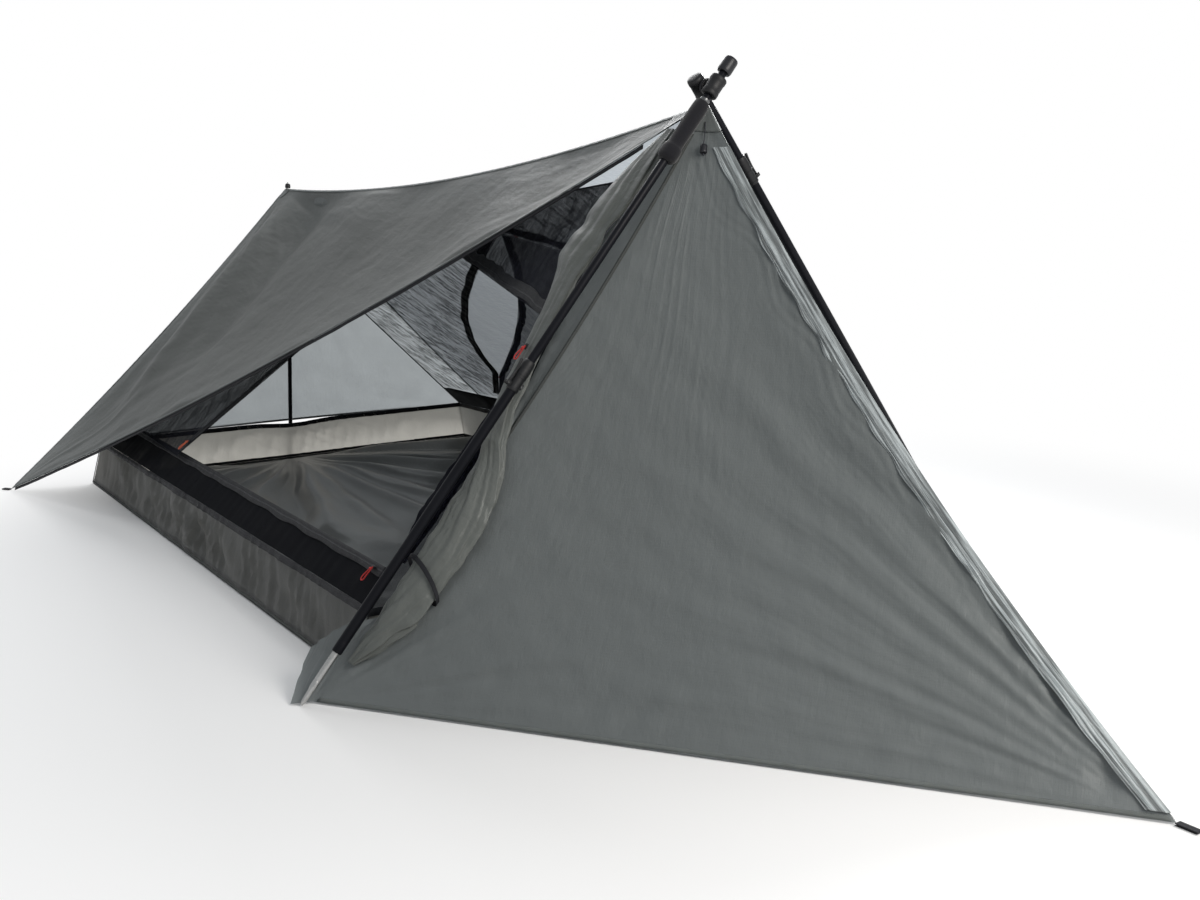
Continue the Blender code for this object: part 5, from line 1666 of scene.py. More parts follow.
def tape_along(surface, outward, wide, start, end, edge_at, upright=False, wander=0.0, seed=301,
               lift=0.0015):
    """A tape on a surface, its first row lying on one of the edges."""
    inward = 1 if edge_at < 0.5 else -1

    def place(s, t):
        here = start + (end - start) * t
        if upright:
            width = np.linalg.norm(surface(1 + 0 * here, here) - surface(0 * here, here), axis=-1)
        else:
            width = np.linalg.norm(surface(here, 1 + 0 * here) - surface(here, 0 * here), axis=-1)
        along = t * 1.5
        shift = wander * (0.6 + waves(along, seed, 0.10, 0.35,
                                      5)) * smooth(t, 0, 0.08) * (1 - smooth(t, 0.92, 1))
        reach = edge_at + inward * (s * wide * (1 + 0.10 * waves(along, seed + 1, 0.05, 0.2, 4))
                                    + shift) / width
        point = (reach, here) if upright else (here, reach)
        ripple = 0.0008 * waves(along + 0.02 * s, seed + 2, 0.02, 0.07)
        found = surface(*point) + facing(surface, *point, outward) * (lift + ripple)[..., None]
        return found, np.stack([(s - 0.5) * wide, along], -1)

    return place


TAPE_WIDTH, ARCH_TAPE = 0.020, 0.030
# On both tapes the coil lies this far from the edge, and the sliders run on it
COIL_IN = 0.010
arch_tape = woven_tape("arch_zip_tape", grey(20, 21, 26), coil=COIL_IN - ARCH_TAPE / 2)
for side, name in ((-1, "left"), (1, "right")):
    lean = (side, 0, 0.5)
    strip(f"zip_strip_{name}", zip_tape, 260, 4,
          tape_along(strip_plane(side), lean, TAPE_WIDTH, 0.012, 0.985, 1),
          0.0010, lean, stands_for=[f"strip_zip_{name}"])
    lean = (side, 0, 0.8)
    strip(f"zip_arch_{name}", arch_tape, 300, 5,
          tape_along(fixed_wall(side), lean, ARCH_TAPE, 0.01, 0.99, 0, wander=0.0045, seed=311 + side),
          0.0010, lean,
          stands_for=[f"arch_zip_{name}"])
strip("zip_door_right", arch_tape, 160, 5,
      tape_along(door_sheet(1), (1, 0, 0.8), ARCH_TAPE, 0.03, 0.985, 1, upright=True, wander=0.0035,
                 seed=321), 0.0010,
      (1, 0, 0.8), stands_for=["door_zip_right"])
print("zip tapes sewn")


# %% Bindings along the mesh edges
def cord_seam(name, curve, radius, finish, count=90, body="shelter"):
    """A rolled seam: the raw edge of the mesh bound in a narrow dark tube."""
    shares = np.linspace(0, 1, count)
    points = curve(shares)
    run = unit(np.gradient(points, axis=0))
    side_of = unit(np.cross(run, np.array((0.01, 0.02, 1.0))))
    other = np.cross(run, side_of)

    def place(s, t):
        index = np.clip(np.round(t * (count - 1)).astype(int), 0, count - 1)
        angle = 2 * math.pi * s
        size = radius * (1 + 0.12 * np.cos(2 * angle))
        point = points[index] + side_of[index] * (size * np.cos(angle))[..., None] + other[index] * (
            size * np.sin(angle)
        )[..., None]
        return point, np.stack([s * 6.3 * radius, t * length_of(curve)], -1)

    obj = closed_tube(name, 10, count - 1, place)
    return dress(obj, finish, body)


def closed_tube(name, columns, rows, place):
    """A tube laid as a grid: its long seam is merged and its two ends are filled."""
    obj = laid_grid(name, columns, rows, place)
    shape = bmesh.new()
    shape.from_mesh(obj.data)
    bmesh.ops.remove_doubles(shape, verts=shape.verts, dist=0.00003)
    bmesh.ops.holes_fill(shape, edges=[edge for edge in shape.edges if edge.is_boundary])
    bmesh.ops.recalc_face_normals(shape, faces=shape.faces)
    shape.to_mesh(obj.data)
    shape.free()
    return obj


edges = {
    "ridge_of_inner": straight(INNER_FRONT + np.array((0, 0, 0.001)),
                               INNER_REAR + np.array((0, 0, 0.001))),
    "front_edge_left": straight(INNER_FRONT, strip_corner(-1, False)),
    "front_edge_right": straight(INNER_FRONT, strip_corner(1, False)),
    "rear_edge_left": straight(INNER_REAR, strip_corner(-1, True)),
    "rear_edge_right": straight(INNER_REAR, strip_corner(1, True)),
    "strip_end_front_left": straight(strip_corner(-1, False), wall_corner(-1, False, WALL_HEIGHT)),
    "strip_end_front_right": straight(strip_corner(1, False), wall_corner(1, False, WALL_HEIGHT)),
    "strip_end_rear_left": straight(strip_corner(-1, True), wall_corner(-1, True, WALL_HEIGHT)),
    "strip_end_rear_right": straight(strip_corner(1, True), wall_corner(1, True, WALL_HEIGHT)),
}
for name, curve in edges.items():
    cord_seam(name, curve, 0.0021, bound_edge if name.startswith("strip") else black_web)
for side, name in ((-1, "left"), (1, "right")):
    for rear, end in ((False, "front"), (True, "rear")):
        corner_line = straight(wall_corner(side, rear, 0.004), wall_corner(side, rear, WALL_HEIGHT))
        cord_seam(f"tub_corner_{end}_{name}", corner_line, 0.0013, black_web, 24)
print("bindings sewn")


# %% The bundled mesh door
BUNDLE_RADIUS = 0.019


def bundle_spot(height):
    edge = (INNER_HEIGHT - height) / (INNER_HEIGHT - WALL_HEIGHT)
    return np.stack([-0.655 * edge + 0.002, 0.1265 - 0.005 * edge + BUNDLE_RADIUS + APEX_Y, height], -1)


def bundled(u, v):
    low, high = 0.204, 0.594
    height = low + (high - low) * v
    centre = bundle_spot(height)
    axis = unit(bundle_spot(np.array(high)) - bundle_spot(np.array(low)))
    size = BUNDLE_RADIUS * np.minimum(1.0, 0.45 + 3.0 * np.minimum(v, 1 - v))
    centre = centre - np.stack([0 * size, BUNDLE_RADIUS - size, 0 * size], -1)
    across = unit(np.cross(axis, np.array((0, 1.0, 0))))
    depth = np.cross(axis, across)
    angle = 2 * math.pi * 1.45 * u + 0.3 * waves(v * 0.5, 331, 0.10, 0.3, 4)
    around = np.mod(angle + 0.8 * waves(v * 0.5, 333, 0.12, 0.4, 4), 2 * math.pi)
    folds = 0.13 * np.cos(5 * around) + 0.09 * np.cos(9 * around
                                                      + 1) + 0.05 * waves(v * 0.5, 335, 0.02, 0.08, 5)
    swell = np.minimum((0.74 + 0.20 * u) * (0.92 + folds), 0.99) * size
    point = centre + across * (swell * np.cos(angle))[...,
                                                      None] + depth * (swell * np.sin(angle))[..., None]
    return point, np.stack([u * 0.16, height], -1)


bundle = laid_grid("mesh_door_bundled", 72, 120, bundled)
face_outward(bundle, (-1, 0.2, 0.5))
dress(bundle, bundle_net, stands_for=["mesh_door_left"])
bundle_area = sum(p.area for p in bundle.data.polygons)
print("bundled mesh:", round(bundle_area, 3), "square metres")


# %% Webbing tabs
def webbing(name, points, flat_side, width, thickness, stands_for, body="shelter", count=26,
            finish=None):
    """A flat strap along a smooth path."""
    points = np.asarray(points, float)
    shares = np.linspace(0, 1, len(points))
    total = float(np.linalg.norm(np.diff(points, axis=0), axis=1).sum())
    flat_side = np.asarray(flat_side, float)
    run = unit(np.gradient(points, axis=0))

    def place(s, t):
        here = np.stack([np.interp(t, shares, points[:, k]) for k in range(3)], -1)
        along = np.stack([np.interp(t, shares, run[:, k]) for k in range(3)], -1)
        normal = unit(flat_side - along * (along @ flat_side)[..., None])
        across = np.cross(along, normal)
        cup = 0.0004 * np.cos(math.pi * (s - 0.5)) - thickness / 2
        return here + across * ((s - 0.5) * width)[..., None] + normal * cup[..., None], np.stack(
            [(s - 0.5) * width, t * total], -1
        )

    obj = laid_grid(name, 6, count, place)
    face_outward(obj, flat_side)
    thicken(obj, thickness)
    return dress(obj, finish or black_web, body, stands_for)


SIDEWAYS = (1, 0, 0)
REAR_FOOT, REAR_TOP = spot(0, 2.165, 0.002), spot(0, PIN_RUN + 0.001, REAR_HEIGHT - 0.017)
for name, run in (("ridge_tab_front", 0.456), ("ridge_tab_rear", 1.200)):
    low = between(INNER_FRONT, INNER_REAR, (run - INNER_START)
                  / INNER_LENGTH) + np.array((0, 0, 0.0016))
    high = ridge(run / RIDGE_RUN) + np.array((0, 0, -0.0017))
    high[1] = low[1]
    middle = (low + high) / 2 + np.array((0.0012, 0, 0))
    webbing("tab_" + name, (low, low * 0.7 + middle * 0.3, middle, high * 0.7 + middle * 0.3, high),
            SIDEWAYS, 0.015, 0.001,
            [name])
pole_at_tie = between(REAR_FOOT, REAR_TOP, 0.696 / REAR_TOP[2])
tie_start = np.array((0, INNER_REAR[1] + 0.0008, 0.688))
tie_end = np.array((0, pole_at_tie[1] - 0.0062 - 0.0003, 0.688))
webbing("tie_to_rear_pole", between(tie_start, tie_end, np.linspace(0, 1, 5)), SIDEWAYS, 0.012, 0.001,
        ["rear_tie"])
STAKED = (
    ("stake_tab_front", FRONT_CORNER, (0, -1, 0), 0.0350),
    ("stake_tab_rear_left", REAR_CORNER[-1], (-0.6, 0.8, 0), 0.0265),
    ("stake_tab_rear_right", REAR_CORNER[1], (0.6, 0.8, 0), 0.0265),
)
for name, corner, direction, reach in STAKED:
    direction = np.array(direction, float)
    start = np.array((corner[0], corner[1], 0.0046)) + direction * 0.0008
    end = np.array((corner[0], corner[1], 0.0046)) + direction * (reach - 0.0006)
    under_start, under_end = start - (0, 0, 0.0030), end - (0, 0, 0.0030)
    turn = end + direction * 0.0003 - (0, 0, 0.0015)
    path = np.array([start, between(start, end, 0.5), end, turn, under_end,
                     between(under_end, under_start, 0.5), under_start])
    shares = np.linspace(0, 1, 30)
    reached = np.concatenate([[0], np.cumsum(np.linalg.norm(np.diff(path, axis=0), axis=1))])
    fine = np.stack([np.interp(shares, reached / reached[-1], path[:, k]) for k in range(3)], -1)
    flat_run = np.cross(direction, (0, 0, 1))

    def looped(s, t, fine=fine, flat_run=flat_run, total=reached[-1]):
        here = np.stack([np.interp(t, np.linspace(0, 1, len(fine)), fine[:, k]) for k in range(3)], -1)
        return here + flat_run * ((s - 0.5) * 0.012)[...,
                                                     None], np.stack([(s - 0.5) * 0.012, t * total], -1)

    tab = laid_grid("webbing_" + name, 6, 60, looped)
    face_outward(tab, (0, 0, 0.01))
    thicken(tab, 0.0010, 0.0)
    dress(tab, black_web, stands_for=[name])
print("tabs sewn")

# %% [markdown]
# ## The front poles
#
# Each pole is a trekking pole: a painted upper shaft, a clamp with a lever, a lower tube and a
# bright tip section. All of these are round, so each one starts as a circle that is extruded from
# ring to ring and scaled, as on a lathe. The paint is glossy and a little scuffed, the plastic is
# finely grained, the tip is brushed metal and the grip is closed-cell foam.


# %% Finishes for the poles
def painted(name, colour, roughness, scuffs=0.25):
    """Glossy paint with fine scuffs that run along the tube and a few worn specks."""
    made = Finish(name)
    along = made.place("UV", (1.0, 0.06, 1.0))
    scratch = made.noise(along, 0.0012, 4.0, 0.65)
    mark = ((scratch - 0.62) * 9.0).clamped()
    speck = ((made.noise(made.place("UV"), 0.0035, 5.0, 0.7) - 0.67) * 14.0).clamped()
    dust = made.noise(made.place("Object"), 0.08, 3.0)
    base = made.blend(dust * 0.5, colour, toned(colour, 2.2, 0.004))
    base = made.blend((mark * 0.35 + speck * 0.8) * scuffs, base, grey(150, 150, 150))
    rough = dust * 0.14 + mark * 0.2 + (roughness - 0.07)
    peel = made.noise(made.place("Object"), 0.0018, 2.0)
    return made.close(
        made.node("BsdfPrincipled", Base_Color=base, Roughness=rough,
                  Normal=made.bump(peel + mark, 0.00006),
                  Specular_IOR_Level=0.12)
    )


def moulded(name, colour, roughness=0.5, grain=0.0007, depth=0.00008):
    """Moulded plastic: a fine spark-eroded grain, rubbed smoother and paler in places."""
    made = Finish(name)
    room = made.place("Object")
    fine = made.noise(room, grain, 3.0, 0.6)
    rubbed = ((made.noise(room, 0.012, 3.0) - 0.45) * 3.0).clamped()
    base = made.blend(rubbed * 0.4, colour, toned(colour, 1.9, 0.006))
    return made.close(
        made.node("BsdfPrincipled", Base_Color=base, Roughness=fine * 0.10 - rubbed * 0.14 + roughness,
                  Normal=made.bump(fine, depth), Specular_IOR_Level=0.45)
    )


def brushed(name, colour, roughness=0.30):
    """Turned metal: fine rings round the tube, a few scratches along it and dull patches."""
    made = Finish(name)
    rings = made.noise(made.place("UV", (0.03, 1.0, 1.0)), 0.0005, 3.0, 0.6)
    lines = made.noise(made.place("UV", (1.0, 0.05, 1.0)), 0.0016, 4.0, 0.7)
    scratch = ((lines - 0.6) * 8.0).clamped()
    dull = made.noise(made.place("Object"), 0.02, 4.0, 0.6)
    base = made.blend(dull, toned(colour, 0.62), colour)
    base = made.blend(scratch * 0.5, base, grey(90, 88, 84))
    rough = rings * 0.14 + dull * 0.16 + scratch * 0.15 + (roughness - 0.15)
    return made.close(
        made.node("BsdfPrincipled", Base_Color=base, Metallic=1.0 - dull * 0.15, Roughness=rough,
                  Normal=made.bump(rings * 0.6 + scratch, 0.00005))
    )


def foamed(name, colour):
    """Closed-cell foam: tiny open pits in a soft matt skin. The pits are painted darker than the skin:
    painted shade.
    """
    made = Finish(name)
    room = made.place("Object")
    pits_bump_and_painted_shade = made.node("TexVoronoi", Vector=room, Scale=1 / 0.0013)
    soft = made.noise(room, 0.006, 3.0)
    base = made.blend(pits_bump_and_painted_shade * 0.6 + soft * 0.4, toned(colour, 0.5), toned(colour, 1.5))
    return made.close(
        made.node("BsdfPrincipled", Base_Color=base, Roughness=soft * 0.1 + 0.82,
                  Normal=made.bump(pits_bump_and_painted_shade * 0.7 + soft, 0.0003),
                  Specular_IOR_Level=0.25, Sheen_Weight=0.3)
    )


pole_paint = painted("pole_paint_black", grey(17, 18, 23), 0.36, 0.14)
tube_paint = painted("tube_paint_black", grey(15, 16, 21), 0.38, 0.10)
black_plastic = moulded("plastic_black", grey(14, 15, 18))
cap_plastic = moulded("cap_plastic_black", grey(26, 27, 32), 0.36)
tip_metal = brushed("tip_metal_bright", grey(205, 205, 203))
neck_metal = brushed("neck_metal", grey(120, 121, 122), 0.34)
grip_foam = foamed("grip_foam_black", grey(20, 20, 26))
print("pole finishes ready")

# %% Shapes turned on a lathe
CROSSING_HEIGHT, POLE_SIDE_STEP = 1.040, 0.0207


def pole_frame(side):
    """The pole's own axes: origin where it crosses the hub's axis, Z up the pole,
    X away from the cloth."""
    foot, cross = Vector(spot(side * 0.815, 0.065, 0.002)), Vector(spot(0, 0, CROSSING_HEIGHT))
    cross.y += side * POLE_SIDE_STEP
    up = (cross - foot).normalized()
    out = Vector((side * 0.78, 0, 0.63))
    out = (out - up * out.dot(up)).normalized()
    turn = Matrix((out, up.cross(out), up)).transposed().to_4x4()
    return Matrix.Translation(cross) @ turn, (cross - foot).length


def wrap_uv(obj, axis=(0, 0)):
    """Gives a turned piece a UV map in metres: round it, and along it."""
    mesh = obj.data
    layer = mesh.uv_layers[0] if mesh.uv_layers else mesh.uv_layers.new(name="wrapped")
    for polygon in mesh.polygons:
        first = None
        for loop in polygon.loop_indices:
            point = mesh.vertices[mesh.loops[loop].vertex_index].co
            x, y = point.x - axis[0], point.y - axis[1]
            angle = math.atan2(y, x)
            first = angle if first is None else first
            angle += 2 * math.pi * round((first - angle) / (2 * math.pi))
            layer.data[loop].uv = (angle * max(math.hypot(x, y), 0.004),
                                   point.z + 0.3 * math.hypot(x, y))


def lathe(name, outline, frame, finish, body, stands_for=(), sides=40, closed=False,
          angle=35,
          shape=None):
    """A circle extruded from ring to ring. An outline that is closed runs back through the bore."""
    bpy.ops.object.select_all(action="DESELECT")
    radius, height = outline[0]
    radius = max(radius, 0.0002)
    fill = "NOTHING" if closed else "NGON"
    bpy.ops.mesh.primitive_circle_add(vertices=sides, radius=radius, location=(0, 0, 0), fill_type=fill)
    obj = bpy.context.object
    bpy.ops.object.mode_set(mode="EDIT")
    bpy.ops.mesh.select_all(action="SELECT")
    bpy.ops.transform.translate(value=(0, 0, height))
    for next_radius, next_height in outline[1:] + (outline[:1] if closed else []):
        next_radius = max(next_radius, 0.0002)
        bpy.ops.mesh.extrude_region_move(TRANSFORM_OT_translate={"value": (0, 0, next_height - height)})
        ratio = next_radius / radius
        bpy.ops.transform.resize(value=(ratio, ratio, 1), center_override=(0, 0, next_height))
        radius, height = next_radius, next_height
    if closed:
        bpy.ops.mesh.select_all(action="SELECT")
        bpy.ops.mesh.remove_doubles(threshold=0.000005)
    bpy.ops.mesh.select_all(action="SELECT")
    bpy.ops.mesh.normals_make_consistent(inside=False)
    bpy.ops.object.mode_set(mode="OBJECT")
    obj.name = obj.data.name = name
    if shape:
        for vertex in obj.data.vertices:
            vertex.co = shape(vertex.co)
    wrap_uv(obj)
    obj.matrix_world = frame
    bpy.ops.object.transform_apply(location=True, rotation=True, scale=True)
    bpy.ops.object.shade_smooth_by_angle(angle=math.radians(angle))
    return dress(obj, finish, body, stands_for, soft=False)


def rounded(radius, top, low, edge=0.001, inner=None):
    """An outline with softened rims, solid or round a bore of the inner radius."""
    rim = [(radius - edge, low), (radius - 0.3 * edge, low + 0.3 * edge), (radius, low + edge),
           (radius, top - edge),
           (radius - 0.3 * edge, top - 0.3 * edge), (radius - edge, top)]
    return rim if inner is None else [(inner, low)] + rim + [(inner, top)]


print("left pole is", round(pole_frame(-1)[1], 3), "m to the hub")


# %% Boxes with soft edges, and pins across
def soft_box(low, high, edge, cuts=0, shape=None, segments=2):
    """A cube put at its place, divided, shaped and bevelled."""
    low, high = Vector(low), Vector(high)
    bpy.ops.object.select_all(action="DESELECT")
    bpy.ops.mesh.primitive_cube_add(size=1)
    obj = bpy.context.object
    bpy.ops.object.mode_set(mode="EDIT")
    bpy.ops.mesh.select_all(action="SELECT")
    bpy.ops.transform.resize(value=tuple(high - low))
    bpy.ops.transform.translate(value=tuple((low + high) / 2))
    bpy.ops.mesh.bevel(offset=edge, segments=segments, affect="EDGES")
    if cuts:
        bpy.ops.mesh.select_all(action="SELECT")
        bpy.ops.mesh.subdivide(number_cuts=cuts)
    bpy.ops.object.mode_set(mode="OBJECT")
    if shape:
        for vertex in obj.data.vertices:
            vertex.co = shape(vertex.co.copy())
    return obj


def pin_across(x, z, radius, half, sides=20):
    bpy.ops.object.select_all(action="DESELECT")
    bpy.ops.mesh.primitive_cylinder_add(vertices=sides, radius=radius, depth=2 * half)
    obj = bpy.context.object
    bpy.ops.object.mode_set(mode="EDIT")
    bpy.ops.mesh.select_all(action="SELECT")
    bpy.ops.mesh.bevel(offset=radius * 0.25, segments=2, affect="EDGES")
    bpy.ops.transform.rotate(value=math.pi / 2, orient_axis="X", center_override=(0, 0, 0))
    bpy.ops.transform.translate(value=(x, 0, z))
    bpy.ops.object.mode_set(mode="OBJECT")
    return obj


def assembled(name, parts, frame, finish, body, stands_for=(), angle=35):
    """Joins parts that are moulded as one, and puts them in the pole's frame."""
    bpy.ops.object.select_all(action="DESELECT")
    for part in parts:
        part.select_set(True)
    bpy.context.view_layer.objects.active = parts[0]
    if len(parts) > 1:
        bpy.ops.object.join()
    obj = bpy.context.object
    obj.name = obj.data.name = name
    obj.matrix_world = frame @ obj.matrix_world
    bpy.ops.object.transform_apply(location=True, rotation=True, scale=True)
    bpy.ops.object.shade_smooth_by_angle(angle=math.radians(angle))
    return dress(obj, finish, body, stands_for, soft=False)


print("moulding tools ready")


# %% Both poles
def front_pole(name, side, clamp_at, grip):
    frame_here, length = pole_frame(side)

    def at(distance):
        return distance - length

    side_name = name.split("_")[0]
    upper, lower = name, f"{side_name}_lower"
    tip_body, lever_body = f"{side_name}_tip", f"{side_name}_lever"
    tube_top = clamp_at + 0.010
    lathe(f"{name}_tip_turned",
          [(0.0001, at(0)), (0.0020, at(0)), (0.0026, at(0.0015)), (0.0034, at(0.004)),
           (0.0042, at(0.006)),
           (0.0050, at(0.029)), (0.0056, at(0.0305)), (0.0063, at(0.036)), (0.0064, at(0.0365)),
           (0.0064, at(0.048)),
           (0.0061, at(0.0485)), (0.0061, at(0.0500)), (0.0064, at(0.0505)), (0.0064, at(0.098)),
           (0.0064, at(0.179)), (0.0056, at(0.180))],
          frame_here, tip_metal, tip_body, [f"{name}_tip"])
    lathe(f"{name}_tube_turned",
          [(0.0067, at(0.105)), (0.0082, at(0.105)), (0.0089, at(0.1056)), (0.0095, at(0.108)),
           (0.0095, at(0.128)),
           (0.00935, at(0.1284)), (0.00935, at(0.1292)), (0.0095, at(0.1296)), (0.0095, at(tube_top)),
           (0.0086, at(tube_top)), (0.0086, at(0.125)), (0.0067, at(0.125))],
          frame_here, tube_paint, lower, [f"{name}_tube"], closed=True)
    foot = 0.56 if grip else clamp_at - 0.10
    top = 1.372 if grip else length + 0.016
    lathe(f"{name}_shaft_turned", rounded(0.0080, at(top), at(foot), 0.0006), frame_here, pole_paint,
          upper,
          [f"{name}_shaft"])

    half = 0.031
    high, low = clamp_at + half, clamp_at - half
    lathe(
        f"{name}_collar",
        [(0.0098, at(low)), (0.0106, at(low)), (0.0113, at(low + 0.0006)), (0.0118, at(low + 0.0016)),
         (0.0118, at(low + 0.0060)), (0.0111, at(low + 0.0066)), (0.0111, at(low + 0.0260)),
         (0.0118, at(low + 0.0268)), (0.0118, at(low + 0.0300)), (0.0112, at(low + 0.0304)),
         (0.0112, at(low + 0.0312)), (0.0118, at(low + 0.0316)), (0.0116, at(high - 0.008)),
         (0.0108, at(high - 0.002)), (0.0102, at(high - 0.0006)), (0.0096, at(high)),
         (0.0083, at(high)),
         (0.0083, at(tube_top + 0.0003)), (0.0098, at(tube_top + 0.0003))],
        frame_here, black_plastic, lower, [f"{name}_clamp"], closed=True)
    hinge = at(low + 0.008)
    cheeks = [soft_box((0.0100, sign * 0.0038 if sign > 0 else -0.0062, hinge - 0.0036),
                       (0.0194, 0.0062 if sign > 0 else -0.0038, hinge + 0.0040), 0.0009)
                       for sign in (1, -1)]
    ears = [soft_box((-0.0146, -0.0042, at(low + 0.009)), (-0.0096, 0.0042, at(low + 0.021)), 0.0014)]
    assembled(f"{name}_clamp_lugs", cheeks + ears, frame_here, black_plastic, lower, [f"{name}_clamp"])
    assembled(f"{name}_clamp_pin", [pin_across(0.0158, hinge, 0.0012, 0.0064),
                                    pin_across(-0.0122, at(low + 0.015), 0.0022, 0.0050)],
              frame_here, neck_metal, lower, [f"{name}_clamp"])

    def curved(point):
        share = min(max((point.z - hinge) / 0.050, 0), 1)
        point.x += 0.0016 * share**2 * 1.6 - 0.0010 * math.sin(math.pi * share)
        point.y *= 1.0 - 0.22 * share + 0.30 * max(share - 0.75, 0)
        groove = max(0.0, 1 - abs(share - 0.86) / 0.05)
        if point.x > 0.0160:
            point.x -= 0.0006 * groove
        return point

    arm = soft_box((0.0132, -0.0034, hinge + 0.0004), (0.0168, 0.0034, hinge + 0.0495), 0.0009, 5,
                   curved)
    ribs = [soft_box((0.0166, -0.0022, hinge + z), (0.0176, 0.0022, hinge + z + 0.0010), 0.0003)
            for z in (0.030, 0.033, 0.036)]
    knuckle = pin_across(0.0158, hinge, 0.0029, 0.0033, 28)
    assembled(f"{name}_lever_arm", [arm, knuckle] + ribs, frame_here, black_plastic, lever_body,
              [f"{name}_lever"])

    if not grip:
        lathe(f"{name}_ring_turned",
              [(0.0083, at(length - 0.022)), (0.0140, at(length - 0.022)),
               (0.0150, at(length - 0.0212)),
               (0.0160, at(length - 0.0195)), (0.0160, at(length - 0.012)),
               (0.0153, at(length - 0.011)),
               (0.0153, at(length + 0.011)), (0.0160, at(length + 0.012)),
               (0.0160, at(length + 0.0195)),
               (0.0150, at(length + 0.0225)), (0.0130, at(length + 0.024)),
               (0.0060, at(length + 0.0246)),
               (0.0001, at(length + 0.0247))][1:], frame_here, black_plastic, upper, [f"{name}_ring"])
        return
    lathe(f"{name}_ring_turned",
          [(0.0083, at(length - 0.020)), (0.0140, at(length - 0.020)), (0.0150, at(length - 0.0194)),
           (0.0160, at(length - 0.0175)), (0.0160, at(length - 0.011)), (0.0153, at(length - 0.010)),
           (0.0153, at(length + 0.010)), (0.0160, at(length + 0.011)), (0.0160, at(length + 0.0175)),
           (0.0150, at(length + 0.0194)), (0.0140, at(length + 0.020)), (0.0083, at(length + 0.020))],
          frame_here, black_plastic, upper, [f"{name}_ring"], closed=True)
    lathe(f"{name}_cap_turned",
          [(0.0083, at(1.354)), (0.0118, at(1.354)), (0.0126, at(1.3545)), (0.0135, at(1.357)),
           (0.0140, at(1.359)),
           (0.0139, at(1.368)), (0.0136, at(1.3806)), (0.0131, at(1.3836)), (0.0120, at(1.3850)),
           (0.0001, at(1.3852))][1:], frame_here, cap_plastic, upper, [f"{name}_cap"])
    lathe(f"{name}_grip_turned",
          [(0.0083, at(1.154)), (0.0122, at(1.154)), (0.0135, at(1.1545)), (0.0158, at(1.157)),
           (0.0180, at(1.160)),
           (0.0189, at(1.165)), (0.0192, at(1.170)), (0.0191, at(1.176)), (0.0186, at(1.181)),
           (0.0172, at(1.1845)),
           (0.0160, at(1.187)), (0.0153, at(1.192)), (0.0151, at(1.200)), (0.0153, at(1.230)),
           (0.0155, at(1.262)),
           (0.0153, at(1.274)), (0.0148, at(1.281)), (0.0138, at(1.2848)), (0.0122, at(1.286)),
           (0.0083, at(1.286))],
          frame_here, grip_foam, upper, [f"{name}_grip"], closed=True)
    lathe(f"{name}_neck", [(0.0081, at(1.287)), (0.0092, at(1.287)), (0.0096, at(1.2876)),
                           (0.0096, at(1.2925)),
                           (0.0090, at(1.2932)), (0.0081, at(1.2932))],
          frame_here, neck_metal, upper, closed=True)


front_pole("left_pole", -1, 0.680, True)
front_pole("right_pole", 1, 1.130, False)
print("front poles turned")

# %% [markdown]
# ## Hub, strap and rear pole
#
# The poles cross on a round hub, and a strap from the fly's apex goes over it. The rear pole is a
# plain tube whose pin passes up through an eyelet in the fly.

# %% Hub and strap
upright_frame = Matrix.Translation(Vector(spot(0, 0,
                                               CROSSING_HEIGHT))) @ Matrix.Rotation(math.pi / 2, 4, "X")
lathe("hub_turned", [(0.0001, -0.0035), (0.0050, -0.0035), (0.0056, -0.0030), (0.0118, -0.0030),
                     (0.0124, -0.0035),
                     (0.0132, -0.0034), (0.0139, -0.0028), (0.0140, -0.0020), (0.0140, 0.0020),
                     (0.0139, 0.0028),
                     (0.0132, 0.0034), (0.0124, 0.0035), (0.0118, 0.0030), (0.0056, 0.0030),
                     (0.0050, 0.0035),
                     (0.0001, 0.0035)],
      upright_frame, black_plastic, "shelter", ["apex_hub"])


def strap_round(s, t):
    angle = 2 * math.pi * t - math.pi / 2
    reach = 0.0140 + 0.0006
    x, z = reach * np.cos(angle), reach * np.sin(angle)
    low = smooth(-np.sin(angle), 0.90, 1.0)
    z = z * (1 - low) + (APEX_HEIGHT + 0.0054 - CROSSING_HEIGHT) * low
    x = x * (1 - 0.55 * low)
    return np.stack([x, APEX_Y + (s - 0.5) * 0.006, CROSSING_HEIGHT + z],
                    -1), np.stack([(s - 0.5) * 0.006, t * 0.11], -1)


ring_of_tape("strap_over_hub", black_web, strap_round, 4, 120, 0.0012, spot(0, 0, CROSSING_HEIGHT),
             ["hub_strap"])
print("hub and strap ready")

